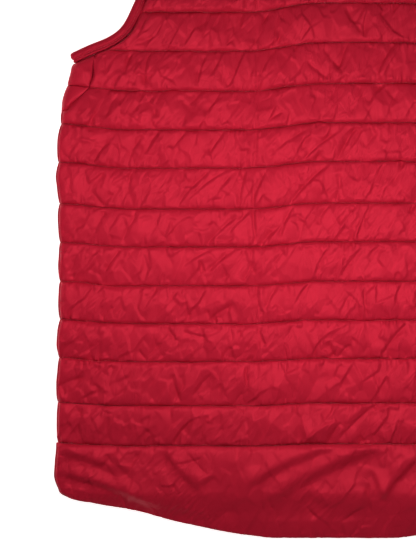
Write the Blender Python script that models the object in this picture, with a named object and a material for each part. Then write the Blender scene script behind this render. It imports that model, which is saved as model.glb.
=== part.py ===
"""Quilted puffer vest lying flat on its front, its back uppermost and its collar towards +Y.

A level is a height above the hem's lowest point, along +Y. A half-width is a distance from the
centre line. Both are in millimetres, and the origin is under the middle of the vest's box.
"""
import math

import bmesh
import bpy
import numpy as np
from mathutils import Vector

MM = 0.001
GAP = 0.3

# Padded cloth, in millimetres: the fronts lie under the back, and their inner faces meet.
FRONT_HEIGHT = 8.0
BACK_BASE = FRONT_HEIGHT + GAP
MIDDLE = FRONT_HEIGHT + GAP / 2
CROWN = 10.5
SEAM = 3.0
HEM_BAND_CROWN = 9.0
HEM_LIFT = 2.0
EDGE_ROUND = 9.0
SEAM_PINCH = 1.6

# Outline
NECK_HALF_WIDTH = 85.0
NECK_LEVEL = 750.0
SHOULDER_LEVEL = 705.0
BACK_NECK_DROP = 20.0
FRONT_NECK_DROP = 85.0
FRONT_HEM_LEVEL = 50.0
COLLAR_HEIGHT = 60.0
COLLAR_ROUND = 7.0
PANEL_EDGE_AT_ZIP = 8.0
CORNER_HALF_WIDTH = 263.0
TAIL_FALL = 30.0

# Armhole binding
BINDING_WIDTH = 10.5
BINDING_THICKNESS = 5.0
BINDING_ROUND = 2.0

# Quilting lines, at their level in the middle of each half
QUILT_LEVELS = (94, 134, 178, 216, 254, 293, 331, 372, 410, 449, 489, 528, 568, 608, 648, 688)
LAST_BAND = len(QUILT_LEVELS) - 1
CHANNEL_ROWS = (0.0, 0.14, 0.5, 0.86)
CHANNEL_SHAPE = 0.42
TAIL_SHARE = 0.5

# (level, half-width) of the side fold, hem to underarm
SIDE_FOLD = (
    (41, 266.0),
    (45, 274.0),
    (52, 278.5),
    (64, 281.0),
    (95, 280.0),
    (150, 279.0),
    (300, 277.0),
    (370, 279.0),
    (430, 274.5),
    (480, 263.0),
)

# (level, half-width) of the armhole's outer edge, underarm to shoulder
ARMHOLE = (
    (490.0, 259.0),
    (496.0, 246.0),
    (504.0, 227.0),
    (514.0, 214.0),
    (532.0, 204.0),
    (560.0, 193.0),
    (592.0, 186.0),
    (625.0, 184.0),
    (662.0, 185.0),
    (705.0, 190.0),
)

# (level, half-width) where the side seam shows on the back, just under the armhole
SEAM_ON_BACK = (
    (426, 276.0),
    (440, 259.0),
    (452, 248.0),
    (463, 243.5),
    (486, 241.0),
)

# (half-width, level) of the drop-tail hem of the back
BACK_HEM = (
    (0, 0.0),
    (60, 0.5),
    (100, 5.0),
    (150, 15.0),
    (205, 29.0),
    (250, 37.5),
    (266, 41.0),
)

# Zip, in millimetres
CHAIN_HALF_WIDTH = 2.7
CHAIN_LOW, CHAIN_HIGH = 3.0, 5.6
TAPE_LOW, TAPE_HIGH = 4.2, 5.2
SLIDER_LENGTH = 13.0
SLIDER_HALF_WIDTH = 5.0
SLIDER_LOW, SLIDER_HIGH = 2.2, 7.4
PULL_LENGTH = 30.0
PULL_WIDTH = 7.0
PULL_NECK_WIDTH = 5.4
PIN_HALF = 0.5
HINGE_HEIGHT = 1.45
BRIDGE_HALF_LENGTH = 2.8
BRIDGE_HALF_WIDTH = 0.9
BOX_LENGTH = 9.0

# name: (red, green, blue), roughness, metallic
MATERIALS = {
    "shell_fabric": ((0.49, 0.0144, 0.0343), 0.45, 0.0),
    "binding_fabric": ((0.47, 0.0137, 0.0322), 0.5, 0.0),
    "zip_tape": ((0.36, 0.012, 0.026), 0.8, 0.0),
    "zip_teeth": ((0.33, 0.011, 0.022), 0.35, 0.0),
    "zip_metal": ((0.55, 0.55, 0.56), 0.3, 1.0),
}


def smoothstep(value):
    value = min(max(value, 0.0), 1.0)
    return value * value * (3.0 - 2.0 * value)


def smooth_table(table, at):
    """Value at `at` on a smooth curve through a table's rows, held flat past its ends."""
    keys = [row[0] for row in table]
    values = [row[1] for row in table]
    if at <= keys[0]:
        return values[0]
    if at >= keys[-1]:
        return values[-1]
    steps = np.diff(values) / np.diff(keys)
    steps = np.concatenate([steps[:1], steps, steps[-1:]])
    limits = 3.0 * np.minimum(np.abs(steps[:-1]), np.abs(steps[1:]))
    limits *= steps[:-1] * steps[1:] > 0
    slopes = np.clip(np.gradient(values, keys), -limits, limits)
    row = int(np.searchsorted(keys, at)) - 1
    span = keys[row + 1] - keys[row]
    t = (at - keys[row]) / span
    rise = values[row + 1] - values[row]
    start = slopes[row] * span
    end = slopes[row + 1] * span
    curve = (start + end - 2 * rise) * t + (3 * rise - 2 * start - end)
    return values[row] + t * (start + t * curve)


def curve_through(points, steps):
    """Catmull-Rom curve through 2D points, with `steps` pieces between neighbours."""
    points = [np.array(point, float) for point in points]
    ends = [2 * points[0] - points[1]] + points + [2 * points[-1] - points[-2]]
    curve = []
    for before, start, end, after in zip(ends, ends[1:], ends[2:], ends[3:]):
        for step in range(steps):
            t = step / steps
            linear = end - before
            square = 2 * before - 5 * start + 4 * end - after
            cube = 3 * (start - end) + after - before
            curve.append(start + 0.5 * t * (linear + t * (square + t * cube)))
    curve.append(points[-1])
    return np.array(curve)


def inward_normals(path):
    """Unit normals of the armhole path, pointing into the cloth."""
    along = np.gradient(path, axis=0)
    along /= np.linalg.norm(along, axis=1)[:, None]
    return np.stack([-along[:, 1], along[:, 0]], axis=1)


# Half-width and level along the armhole, from the underarm to the shoulder
ARMHOLE_PATH = curve_through([(row[1], row[0]) for row in ARMHOLE], 4)
ARMHOLE_NORMALS = inward_normals(ARMHOLE_PATH)
PANEL_EDGE = ARMHOLE_PATH + ARMHOLE_NORMALS * (BINDING_WIDTH + GAP)
END_RUN = PANEL_EDGE[0] - PANEL_EDGE[2]
SIDE_CORNER = PANEL_EDGE[0] + END_RUN * (CORNER_HALF_WIDTH - PANEL_EDGE[0][0]) / END_RUN[0]
CORNER_LEVEL = SIDE_CORNER[1]
PANEL_EDGE = np.vstack([SIDE_CORNER, PANEL_EDGE])
TOP_EDGE = PANEL_EDGE[-1][0]
SEAM_TOP_LEVEL = float(np.interp(-SEAM_ON_BACK[-1][1], -PANEL_EDGE[:, 0], PANEL_EDGE[:, 1]))


def half_width(level):
    """Outer edge of the panels at a level: the side fold, then the armhole seam."""
    if level <= CORNER_LEVEL:
        return smooth_table(SIDE_FOLD, level)
    return float(np.interp(level, PANEL_EDGE[:, 1], PANEL_EDGE[:, 0]))


def seam_inset(level):
    """How far inside the side fold the side seam lies on the back."""
    if level < SEAM_ON_BACK[0][0] or level > SEAM_TOP_LEVEL:
        return 0.0
    return max(0.0, half_width(level) - smooth_table(SEAM_ON_BACK, level))


def shoulder_level(x):
    slope = (NECK_LEVEL - SHOULDER_LEVEL) / (ARMHOLE[-1][1] - NECK_HALF_WIDTH)
    return NECK_LEVEL - slope * (abs(x) - NECK_HALF_WIDTH)


def back_neck_level(x):
    share = min(abs(x) / NECK_HALF_WIDTH, 1.0)
    return NECK_LEVEL - BACK_NECK_DROP * (1.0 - share ** 2.5)


def back_top_level(x):
    return back_neck_level(x) if abs(x) < NECK_HALF_WIDTH else shoulder_level(x)


def front_neck_level(x):
    share = min(abs(x) / NECK_HALF_WIDTH, 1.0)
    return NECK_LEVEL - FRONT_NECK_DROP * math.sqrt(1.0 - share * share)


def front_neck_half_width(level):
    """Inner edge of a front at a level: the zip, then the neckline's quarter ellipse."""
    share = min(max((NECK_LEVEL - level) / FRONT_NECK_DROP, 0.0), 1.0)
    return max(PANEL_EDGE_AT_ZIP, NECK_HALF_WIDTH * math.sqrt(1.0 - share * share))


def back_hem_level(x):
    return smooth_table(BACK_HEM, abs(x))


def front_hem_level(x):
    return FRONT_HEM_LEVEL - 9.0 * smoothstep((abs(x) - 236.0) / 30.0)


def quilt_line(index, x, yoke=1.0):
    """Level of a quilting line: higher at the side folds, and over the middle of the back."""
    level = QUILT_LEVELS[index]
    share = (level - QUILT_LEVELS[0]) / (QUILT_LEVELS[-1] - QUILT_LEVELS[0])
    side = (3.0 + 7.0 * share) * smoothstep((abs(x) - 205.0) / 80.0)
    middle = (2.0 + 10.0 * share) * smoothstep((115.0 - abs(x - 27.0)) / 75.0)
    return level + side + yoke * middle


def loft_height(v, low, high):
    """Thickness across a quilted channel: v runs from one stitched line to the next."""
    return low + (high - low) * (4.0 * v * (1.0 - v)) ** CHANNEL_SHAPE


def band_rows(first, extra):
    """Rows (band, v) up a panel: band -1 is the hem band, and the last one ends at the top."""
    rows = [(-1, v) for v in first]
    for band in range(LAST_BAND + 1):
        shares = list(CHANNEL_ROWS)
        shares += [v for where, v in extra if where == band]
        rows += [(band, v) for v in sorted(shares)]
    rows.append((LAST_BAND, 1.0))
    return rows


def band_level(row, x, hem, top, yoke):
    """Level of a row at x, between its band's lower and upper lines."""
    band, v = row
    low = hem(x) if band < 0 else quilt_line(band, x, yoke)
    last = band == LAST_BAND
    high = top(x) if last else quilt_line(band + 1, x, yoke)
    return low + v * (high - low)


def back_level(row, x):
    """Level of a back panel's row. The hem band's lower rows follow the fronts' hem."""
    band, v = row
    if band >= 0:
        return band_level(row, x, back_hem_level, back_top_level, 1.0)
    hem = back_hem_level(x)
    fold = max(front_hem_level(x) - 0.5, hem + 4.0)
    if v <= TAIL_SHARE:
        return hem + (fold - hem) * v / TAIL_SHARE
    return fold + (quilt_line(0, x) - fold) * (v - TAIL_SHARE) / (1.0 - TAIL_SHARE)


def front_level(row, x):
    return band_level(row, x, front_hem_level, shoulder_level, 0.0)


def row_edge(row, level_of):
    """Outer edge of a row, where its level and the panel's outline agree."""
    if row == (LAST_BAND, 1.0):
        return TOP_EDGE
    low, high = 0.0, 300.0
    for _ in range(30):
        x = (low + high) / 2
        if half_width(level_of(row, x)) > x:
            low = x
        else:
            high = x
    return (low + high) / 2


def v_at_edge_level(band, level):
    """Share v of a band's row whose outer edge is at a level."""
    low, high = 0.0, 0.999
    for _ in range(24):
        v = (low + high) / 2
        if front_level((band, v), row_edge((band, v), front_level)) < level:
            low = v
        else:
            high = v
    return low


# Rows added where the side seam and the armhole's corner need them
CORNER_ROWS = (
    (8, v_at_edge_level(8, 426.0)),
    (8, v_at_edge_level(8, 434.0)),
    (9, v_at_edge_level(9, CORNER_LEVEL)),
    (9, v_at_edge_level(9, SEAM_TOP_LEVEL)),
    (10, 0.3),
    (10, 0.68),
)


def panel_thickness(row):
    band, v = row
    if band < 0:
        hem_shape = min(1.0, 0.35 + v * 4.0)
        return SEAM + (HEM_BAND_CROWN - SEAM) * hem_shape * (1.0 - v ** 6)
    return loft_height(v, SEAM, CROWN)


def edge_pinch(row, level):
    """Stitched lines draw the side fold in a little."""
    band, v = row
    if band < 0 or level > CORNER_LEVEL:
        return 0.0
    return SEAM_PINCH * (1.0 - (4.0 * v * (1.0 - v)) ** 0.5)


def back_base(x, level):
    """Underside of the back: on the fronts, and past their hem down to the surface."""
    fall = smoothstep((front_hem_level(x) - 0.5 - level) / TAIL_FALL)
    return BACK_BASE * (1.0 - fall)


def merge_flat(part, height):
    """Join the faces that lie in one horizontal plane, a height in millimetres."""
    level = height * MM
    flat = [face for face in part.faces
            if all(abs(vert.co.z - level) < 0.002 * MM for vert in face.verts)]
    bmesh.ops.dissolve_faces(part, faces=flat, use_verts=True)


def mesh_object(name, verts, faces, material, flat_heights=()):
    """One closed object from vertices in millimetres, its flat areas kept as few triangles."""
    mesh = bpy.data.meshes.new(name)
    part = bmesh.new()
    made = [part.verts.new(Vector(vert) * MM - LAYOUT_OFFSET) for vert in verts]
    for face in faces:
        corners = [made[index] for index in face]
        part.faces.new(corners)
    bmesh.ops.remove_doubles(part, verts=part.verts, dist=0.02 * MM)
    for height in flat_heights:
        merge_flat(part, height)
    bmesh.ops.triangulate(part, faces=part.faces)
    bmesh.ops.recalc_face_normals(part, faces=part.faces)
    part.to_mesh(mesh)
    part.free()
    mesh.shade_smooth()
    mesh.set_sharp_from_angle(angle=math.radians(35.0))
    mesh.materials.append(material)
    result = bpy.data.objects.new(name, mesh)
    bpy.context.scene.collection.objects.link(result)
    return result


def wall_object(name, outer, inner, material, ring=False, flat_heights=()):
    """Closed wall between an outer and an inner skin, each a list of rows of points."""
    rows, columns = len(outer), len(outer[0])
    verts = [point for row in outer for point in row]
    verts += [point for row in inner for point in row]
    shift = rows * columns
    faces = []
    for row in range(rows if ring else rows - 1):
        above = (row + 1) % rows
        for column in range(columns - 1):
            a = row * columns + column
            b = above * columns + column
            faces.append((a, a + 1, b + 1, b))
            faces.append((a + shift, b + shift, b + 1 + shift, a + 1 + shift))
        for column, turn in ((0, 1), (columns - 1, -1)):
            a = row * columns + column
            b = above * columns + column
            faces.append((a, b, b + shift, a + shift)[::turn])
    if not ring:
        for row, turn in ((0, -1), (rows - 1, 1)):
            for column in range(columns - 1):
                a = row * columns + column
                faces.append((a, a + 1, a + 1 + shift, a + shift)[::turn])
    return mesh_object(name, verts, faces, material, flat_heights)


# Back panel: columns by distance from its edge, then by share of what is left to the middle
EDGE_STEPS = (0.0, 1.3, 4.5, EDGE_ROUND, 16.0)
NECK_STEP = NECK_HALF_WIDTH / (TOP_EDGE - EDGE_STEPS[-1])
MIDDLE_STEPS = (0.86, 0.7, NECK_STEP, 0.44, 0.34, 0.24, 0.12, 0.0)


def edge_height(distance, thickness, seam_share):
    """Height above the base near a row's edge: a round fold, or a seam drawn down."""
    share = min(max(distance / EDGE_ROUND, 0.0), 1.0)
    fold = thickness * math.sqrt(1.0 - (1.0 - share) ** 2)
    drawn = SEAM + (thickness - SEAM) * smoothstep(share)
    return fold * (1.0 - seam_share) + drawn * seam_share


def back_rows():
    first = (0.0, 0.04, 0.2, 0.35, TAIL_SHARE, 0.75, 0.93)
    return band_rows(first, CORNER_ROWS)


def back_panel():
    outer, inner = [], []
    for row in back_rows():
        edge = row_edge(row, back_level)
        level = back_level(row, edge)
        edge -= edge_pinch(row, level)
        inset = seam_inset(level)
        seam_share = 1.0 if level > CORNER_LEVEL else smoothstep(inset / EDGE_ROUND)
        edge -= inset
        thickness = panel_thickness(row)
        xs = [step - edge for step in EDGE_STEPS]
        xs += [(EDGE_STEPS[-1] - edge) * share for share in MIDDLE_STEPS]
        xs += [-x for x in reversed(xs[:-1])]
        outer.append([])
        inner.append([])
        for x in xs:
            y = back_level(row, x)
            base = back_base(x, y)
            rise = edge_height(edge - abs(x), thickness, seam_share)
            outer[-1].append((x, y, base + rise))
            inner[-1].append((x, y, base))
    cloth = MADE["shell_fabric"]
    return wall_object("back_panel", outer, inner, cloth, flat_heights=(BACK_BASE,))


# Front panels: columns round the side fold, then flat to the zip
FOLD_STEPS = (0.0, 0.12, 0.32, 0.5, 0.66, 0.82, 1.0)
FLAT_STEPS = (0.9, 0.7, 0.45, 0.2, 0.0)
BOUND_STEPS = (0.3, 0.65, 1.0)
QUARTER = 0.5 * math.pi * EDGE_ROUND
NECK_BAND = 14
NECK_ROWS = ((14, 0.62), (14, 0.93), (15, 0.3), (15, 0.68), (15, 0.94))
HEM_TURN = 0.03
HEM_DRAWN = 0.1

def front_rows():
    """Rows of a front. Its neckline starts on a row of its own."""
    low, high = QUILT_LEVELS[NECK_BAND:NECK_BAND + 2]
    start = (front_neck_level(PANEL_EDGE_AT_ZIP) - low) / (high - low)
    hem = (0.0, HEM_TURN, 1.0 - HEM_DRAWN)
    return band_rows(hem, CORNER_ROWS + NECK_ROWS + ((NECK_BAND, start),))


def front_underside(row):
    """Height of the underside: flat on the surface, drawn up at the stitched lines."""
    band, v = row
    if band < 0:
        turned = HEM_LIFT * (1.0 - min(1.0, v / HEM_TURN))
        return turned + SEAM * max(0.0, (v - 1.0 + HEM_DRAWN) / HEM_DRAWN)
    return SEAM if v in (0.0, 1.0) else 0.0


def front_inner_edge(row):
    """Where a row meets the zip or the neckline."""
    low, high = PANEL_EDGE_AT_ZIP, NECK_HALF_WIDTH
    for _ in range(30):
        x = (low + high) / 2
        if front_neck_half_width(front_level(row, x)) > x:
            low = x
        else:
            high = x
    return high


def folded_edge(edge, inset, thickness, underside):
    """Skins of a front round the side fold, from the side seam down to the surface."""
    lip = inset > 0.0
    past_fold = inset >= EDGE_ROUND
    start = inset - EDGE_ROUND + QUARTER if past_fold else inset * QUARTER / EDGE_ROUND
    rise = GAP * min(max((inset - EDGE_ROUND) / 2.0, 0.0), 1.0)
    outer, inner = [], []
    for step in FOLD_STEPS:
        q = start - (start + QUARTER) * step
        if q >= QUARTER:
            along = EDGE_ROUND + q - QUARTER
            drawn = edge_height(inset - along, thickness, 1.0)
            outer.append((edge - along, BACK_BASE + drawn))
            inner.append((edge - along, FRONT_HEIGHT + rise))
            continue
        angle = q / EDGE_ROUND
        reach = thickness if q > 0 else MIDDLE - underside
        height = MIDDLE + reach * math.sin(angle)
        if lip and q > 0:
            drawn = SEAM + (thickness - SEAM) * smoothstep((start - q) / EDGE_ROUND)
            height = min(height, BACK_BASE + drawn)
        outer.append((edge - EDGE_ROUND * (1.0 - math.cos(angle)), height))
        inner.append((edge - EDGE_ROUND, FRONT_HEIGHT + 0.5 * rise))
    seam_x = edge - inset + GAP if lip else edge
    outer[0] = (seam_x, outer[0][1] if lip else FRONT_HEIGHT)
    inner[0] = (seam_x, FRONT_HEIGHT + rise)
    return outer, inner


def bound_edge(edge, underside):
    """Skins of a front at the armhole: an upright edge, then a round lower corner."""
    low = FRONT_HEIGHT - SEAM
    outer = [(edge, FRONT_HEIGHT)] * 2 + [(edge, low + 0.5 * SEAM), (edge, low)]
    for share in BOUND_STEPS:
        height = max(underside, low * (1.0 - smoothstep(share)))
        outer.append((edge - EDGE_ROUND * share, height))
    inner = [(edge, FRONT_HEIGHT)] * 4 + [(edge - EDGE_ROUND, FRONT_HEIGHT)] * len(BOUND_STEPS)
    return outer, inner


def front_section(row):
    """Outer and inner skin of one row of the wearer's left front, from side seam to zip."""
    edge = row_edge(row, front_level)
    level = front_level(row, edge)
    edge -= edge_pinch(row, level)
    underside = front_underside(row)
    if level > CORNER_LEVEL:
        outer, inner = bound_edge(edge, underside)
    else:
        outer, inner = folded_edge(edge, seam_inset(level), panel_thickness(row), underside)
    round_x = edge - EDGE_ROUND
    zip_edge = front_inner_edge(row)
    for share in FLAT_STEPS:
        x = zip_edge + (round_x - zip_edge) * share
        outer.append((x, underside))
        inner.append((x, FRONT_HEIGHT))
    return outer, inner


def front_panel(name, side):
    outer, inner = [], []
    for row in front_rows():
        for skin, points in zip((outer, inner), front_section(row)):
            skin.append([(side * x, front_level(row, x), z) for x, z in points])
    cloth = MADE["shell_fabric"]
    return wall_object(name, outer, inner, cloth, flat_heights=(0.0, FRONT_HEIGHT))


# Collar: one strip from the zip round the neck and back, as a flattened ring
COLLAR_ROWS = (0.0, 0.07, 0.25, 0.43, 0.5, 0.57, 0.75, 0.93, 1.0)
COLLAR_CROWN = 8.5


def collar_height(v):
    """Thickness across the collar's two channels, stitched along the middle."""
    within = (2.0 * v) % 1.0
    return loft_height(within, SEAM, COLLAR_CROWN)


def front_neck_edge():
    """Lower edge of the collar's front: the fronts' neckline, drawn in by the gap."""
    shrink = 1.0 - 1.3 * GAP / NECK_HALF_WIDTH
    points = []
    for row in front_rows():
        x = front_inner_edge(row)
        if x > PANEL_EDGE_AT_ZIP + 0.01:
            points.append((x * shrink, NECK_LEVEL - (NECK_LEVEL - front_level(row, x)) * shrink))
    low = NECK_LEVEL - (NECK_LEVEL - front_neck_level(PANEL_EDGE_AT_ZIP)) * shrink
    return [(PANEL_EDGE_AT_ZIP, low)] + points


def back_neck_edge():
    """Lower edge of the collar's back, just above the back panel's top row."""
    xs = [(TOP_EDGE - EDGE_STEPS[-1]) * step for step in reversed(MIDDLE_STEPS)]
    return [(x, back_top_level(x) + 1.2 * GAP) for x in xs if x <= NECK_HALF_WIDTH + 0.01]


def collar_stations():
    """(x, lower level, angle round the fold or None, on the back) round the neck."""
    front = np.array(front_neck_edge())
    back = np.array(back_neck_edge())
    turn = NECK_HALF_WIDTH - 1.3 * GAP - COLLAR_ROUND
    stations = []
    for x, level in front:
        if x < turn - 2.0:
            stations.append((x, level, None, False))
    for degrees in (-90, -60, -30, 0, 30, 60, 90):
        angle = math.radians(degrees)
        x = turn + COLLAR_ROUND * math.cos(angle)
        edge = front if degrees < 0 else back
        at = NECK_HALF_WIDTH if degrees == 0 else x
        stations.append((x, float(np.interp(at, edge[:, 0], edge[:, 1])), angle, degrees > 0))
    for x, level in reversed(back):
        if x < turn - 2.0:
            stations.append((x, level, None, True))
    mirrored = [(-x, level, angle, back) for x, level, angle, back in reversed(stations[:-1])]
    return stations + mirrored


def collar():
    outer, inner = [], []
    turn = NECK_HALF_WIDTH - 1.3 * GAP - COLLAR_ROUND
    fold_level = back_neck_level(turn) + 1.2 * GAP
    for v in COLLAR_ROWS:
        up = v * COLLAR_HEIGHT
        rise = collar_height(v)
        dip = 3.0 * (1.0 - min(1.0, (rise - SEAM) / 4.0))
        outer.append([])
        inner.append([])
        for x, level, angle, on_back in collar_stations():
            if angle is not None:
                reach = rise if angle > 0 else MIDDLE - dip
                outer[-1].append((x, level + up, MIDDLE + reach * math.sin(angle)))
                inner[-1].append((math.copysign(turn, x), fold_level + up, MIDDLE))
            elif on_back:
                outer[-1].append((x, level + up, BACK_BASE + rise))
                inner[-1].append((x, level + up, BACK_BASE))
            else:
                outer[-1].append((x, level + up, dip))
                inner[-1].append((x, level + up, FRONT_HEIGHT))
    return wall_object("collar", outer, inner, MADE["shell_fabric"])


# Armhole bindings: a strip on the back's edge and on the front's, folded at both ends
BINDING_COLUMNS = ((0.0, 0.45), (BINDING_ROUND, 1.0), (8.5, 1.0), (BINDING_WIDTH, 0.45))
BINDING_TURN = 4.2


def armhole_binding(name, side):
    stations = []
    count = len(ARMHOLE_PATH)
    for index in range(0, count, 2):
        stations.append((index, 0.0, 1.0))
    for degrees in (60, 30, 0, -30, -60):
        angle = math.radians(degrees)
        stations.append((count - 1, math.cos(angle), math.sin(angle)))
    for index in reversed(range(0, count, 2)):
        stations.append((index, 0.0, -1.0))
    for degrees in (-60, -30, 0, 30, 60):
        angle = math.radians(degrees)
        stations.append((0, -math.cos(angle), math.sin(angle)))
    outer, inner = [], []
    for index, reach, rise in stations:
        place = ARMHOLE_PATH[index]
        normal = ARMHOLE_NORMALS[index]
        along = np.array([normal[1], -normal[0]])
        outer.append([])
        inner.append([])
        flat = reach == 0.0
        half_gap = 0.5 * GAP * rise if flat else 0.0
        for across, share in BINDING_COLUMNS:
            spot = place + normal * across
            tip = spot + along * reach * BINDING_TURN * share
            low = MIDDLE + half_gap
            high = low + rise * BINDING_THICKNESS * share
            outer[-1].append((side * tip[0], tip[1], high))
            inner[-1].append((side * spot[0], spot[1], low))
    return wall_object(name, outer, inner, MADE["binding_fabric"], ring=True)


def block(name, xs, ys, zs, material):
    """Plain box between two corners, in millimetres."""
    verts = [(x, y, z) for x in xs for y in ys for z in zs]
    faces = [(0, 1, 3, 2), (4, 6, 7, 5), (0, 4, 5, 1), (2, 3, 7, 6), (0, 2, 6, 4), (1, 5, 7, 3)]
    return mesh_object(name, verts, faces, material)


def prism_faces(count):
    """Two ends and the sides between them, for two copies of an outline."""
    faces = [tuple(range(count)), tuple(reversed(range(count, 2 * count)))]
    for index in range(count):
        after = (index + 1) % count
        faces.append((after, index, index + count, after + count))
    return faces


def prism(name, outline, ys, material):
    """Outline in X and Z carried along Y."""
    verts = [(x, y, z) for y in ys for x, z in outline]
    return mesh_object(name, verts, prism_faces(len(outline)), material)


ZIP_START = FRONT_HEM_LEVEL + 1.0
COLLAR_FRONT_TOP = front_neck_level(PANEL_EDGE_AT_ZIP) + COLLAR_HEIGHT - 1.5
SLIDER_START = COLLAR_FRONT_TOP - SLIDER_LENGTH - 3.0
CHAIN_START = ZIP_START + BOX_LENGTH + GAP
HINGE_LEVEL = SLIDER_START + 7.0


def zip_tape(name, side):
    """Tape beside the chain, cut back where the slider rides."""
    inner_x = CHAIN_HALF_WIDTH + GAP
    outer_x = PANEL_EDGE_AT_ZIP - GAP
    notch_x = SLIDER_HALF_WIDTH + GAP
    low = SLIDER_START - GAP
    outline = [(inner_x, ZIP_START), (outer_x, ZIP_START), (outer_x, COLLAR_FRONT_TOP)]
    outline += [(notch_x, COLLAR_FRONT_TOP), (notch_x, low), (inner_x, low)]
    verts = [(side * x, y, z) for z in (TAPE_LOW, TAPE_HIGH) for x, y in outline]
    return mesh_object(name, verts, prism_faces(len(outline)), MADE["zip_tape"])


def zip_chain():
    """Closed teeth, as one bar with bevelled edges."""
    wide, narrow = CHAIN_HALF_WIDTH, CHAIN_HALF_WIDTH - 0.8
    low, high = CHAIN_LOW, CHAIN_HIGH
    middle_low, middle_high = low + 0.8, high - 0.8
    outline = [(-narrow, low), (narrow, low), (wide, middle_low), (wide, middle_high)]
    outline += [(narrow, high), (-narrow, high), (-wide, middle_high), (-wide, middle_low)]
    ys = (CHAIN_START, SLIDER_START - GAP)
    return prism("zip_chain", outline, ys, MADE["zip_teeth"])


def zip_box():
    """Retaining box at the hem end of the chain."""
    wide = CHAIN_HALF_WIDTH - 0.1
    low, high = CHAIN_LOW - 0.4, CHAIN_HIGH + 0.4
    outline = [(-wide + 0.7, low), (wide - 0.7, low), (wide, low + 0.7), (wide, high - 0.7)]
    outline += [(wide - 0.7, high), (-wide + 0.7, high), (-wide, high - 0.7), (-wide, low + 0.7)]
    return prism("zip_box", outline, (ZIP_START, ZIP_START + BOX_LENGTH), MADE["zip_teeth"])


def zip_slider():
    """Two plates joined by a post between them, and a bridge over the pull tab's pin."""
    wide, post = SLIDER_HALF_WIDTH, 1.8
    low, high = SLIDER_LOW, SLIDER_HIGH
    outline = [(-wide, low), (wide, low), (wide, low + 1.4), (post, low + 1.4)]
    outline += [(post, high - 1.2), (wide, high - 1.2), (wide, high), (-wide, high)]
    outline += [(-wide, high - 1.2), (-post, high - 1.2), (-post, low + 1.4), (-wide, low + 1.4)]
    ys = (SLIDER_START, SLIDER_START + SLIDER_LENGTH)
    slider = prism("zip_slider", outline, ys, MADE["zip_metal"])
    long, leg = BRIDGE_HALF_LENGTH, 0.8
    foot, top, under = low + 0.5, 0.15, 0.75
    arch = [(-long, foot), (-long, top), (long, top), (long, foot)]
    arch += [(long - leg, foot), (long - leg, under), (leg - long, under), (leg - long, foot)]
    verts = [(x, HINGE_LEVEL + y, z) for x in (-BRIDGE_HALF_WIDTH, BRIDGE_HALF_WIDTH)
             for y, z in arch]
    bridge = mesh_object("slider_bridge", verts, prism_faces(len(arch)), MADE["zip_metal"])
    combine(slider, bridge, "UNION")
    return slider


def combine(target, guide, operation):
    """Boolean with a second object, which is kept as a hidden guide."""
    modifier = target.modifiers.new(operation.lower(), "BOOLEAN")
    modifier.operation = operation
    modifier.object = guide
    guide.hide_render = True
    guide.display_type = "WIRE"


def zip_pull():
    """Pull tab lying along the chain towards the hem, its pin under the slider's bridge."""
    half, neck = PULL_WIDTH / 2, PULL_NECK_WIDTH / 2
    start = HINGE_LEVEL + PIN_HALF
    end = start - PULL_LENGTH
    outline = [(neck, start), (neck, start - 9.0), (half, start - 14.0), (half, end + 2.5)]
    outline += [(half - 0.8, end + 0.8), (half - 2.5, end)]
    outline += [(-x, y) for x, y in reversed(outline)]
    ends = (HINGE_HEIGHT - PIN_HALF, HINGE_HEIGHT + PIN_HALF)
    verts = [(x, y, z) for z in ends for x, y in outline]
    pull = mesh_object("zip_pull", verts, prism_faces(len(outline)), MADE["zip_metal"])
    wide = BRIDGE_HALF_WIDTH + 0.35
    window_ys = (HINGE_LEVEL - BRIDGE_HALF_LENGTH - 0.7, HINGE_LEVEL - PIN_HALF)
    window = block("pull_window", (-wide, wide), window_ys, (-1.0, 4.0), MADE["zip_metal"])
    combine(pull, window, "DIFFERENCE")
    hinge = Vector((0.0, HINGE_LEVEL, HINGE_HEIGHT)) * MM - LAYOUT_OFFSET
    for piece in (pull, window):
        for vert in piece.data.vertices:
            vert.co -= hinge
        piece.location = hinge
    return pull


def fabric_material(name, colour, roughness, metallic):
    material = bpy.data.materials.new(name)
    material.use_nodes = True
    shader = material.node_tree.nodes["Principled BSDF"]
    shader.inputs["Base Color"].default_value = (*colour, 1.0)
    shader.inputs["Roughness"].default_value = roughness
    shader.inputs["Metallic"].default_value = metallic
    return material


for old in list(bpy.data.objects):
    bpy.data.objects.remove(old, do_unlink=True)

TOTAL_LENGTH = NECK_LEVEL + 1.2 * GAP + COLLAR_HEIGHT
LAYOUT_OFFSET = Vector((0.0, TOTAL_LENGTH / 2, 0.0)) * MM
MADE = {}
for slot, (colour, roughness, metallic) in MATERIALS.items():
    MADE[slot] = fabric_material(slot, colour, roughness, metallic)

back_panel()
front_panel("front_left", -1)
front_panel("front_right", 1)
collar()
armhole_binding("armhole_binding_left", -1)
armhole_binding("armhole_binding_right", 1)
zip_tape("zip_tape_left", -1)
zip_tape("zip_tape_right", 1)
zip_chain()
zip_box()
zip_slider()
zip_pull()
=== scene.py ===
"""Looks of a quilted puffer vest lying flat, back uppermost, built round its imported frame.

A level is a height above the hem's lowest point, along +Y. Grids of cloth are worked out in
millimetres as (half-width or x, level, height), and turned into metres when their mesh is made.
"""
import math

import bmesh
import bpy
import numpy as np
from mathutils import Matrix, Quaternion, Vector


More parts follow.
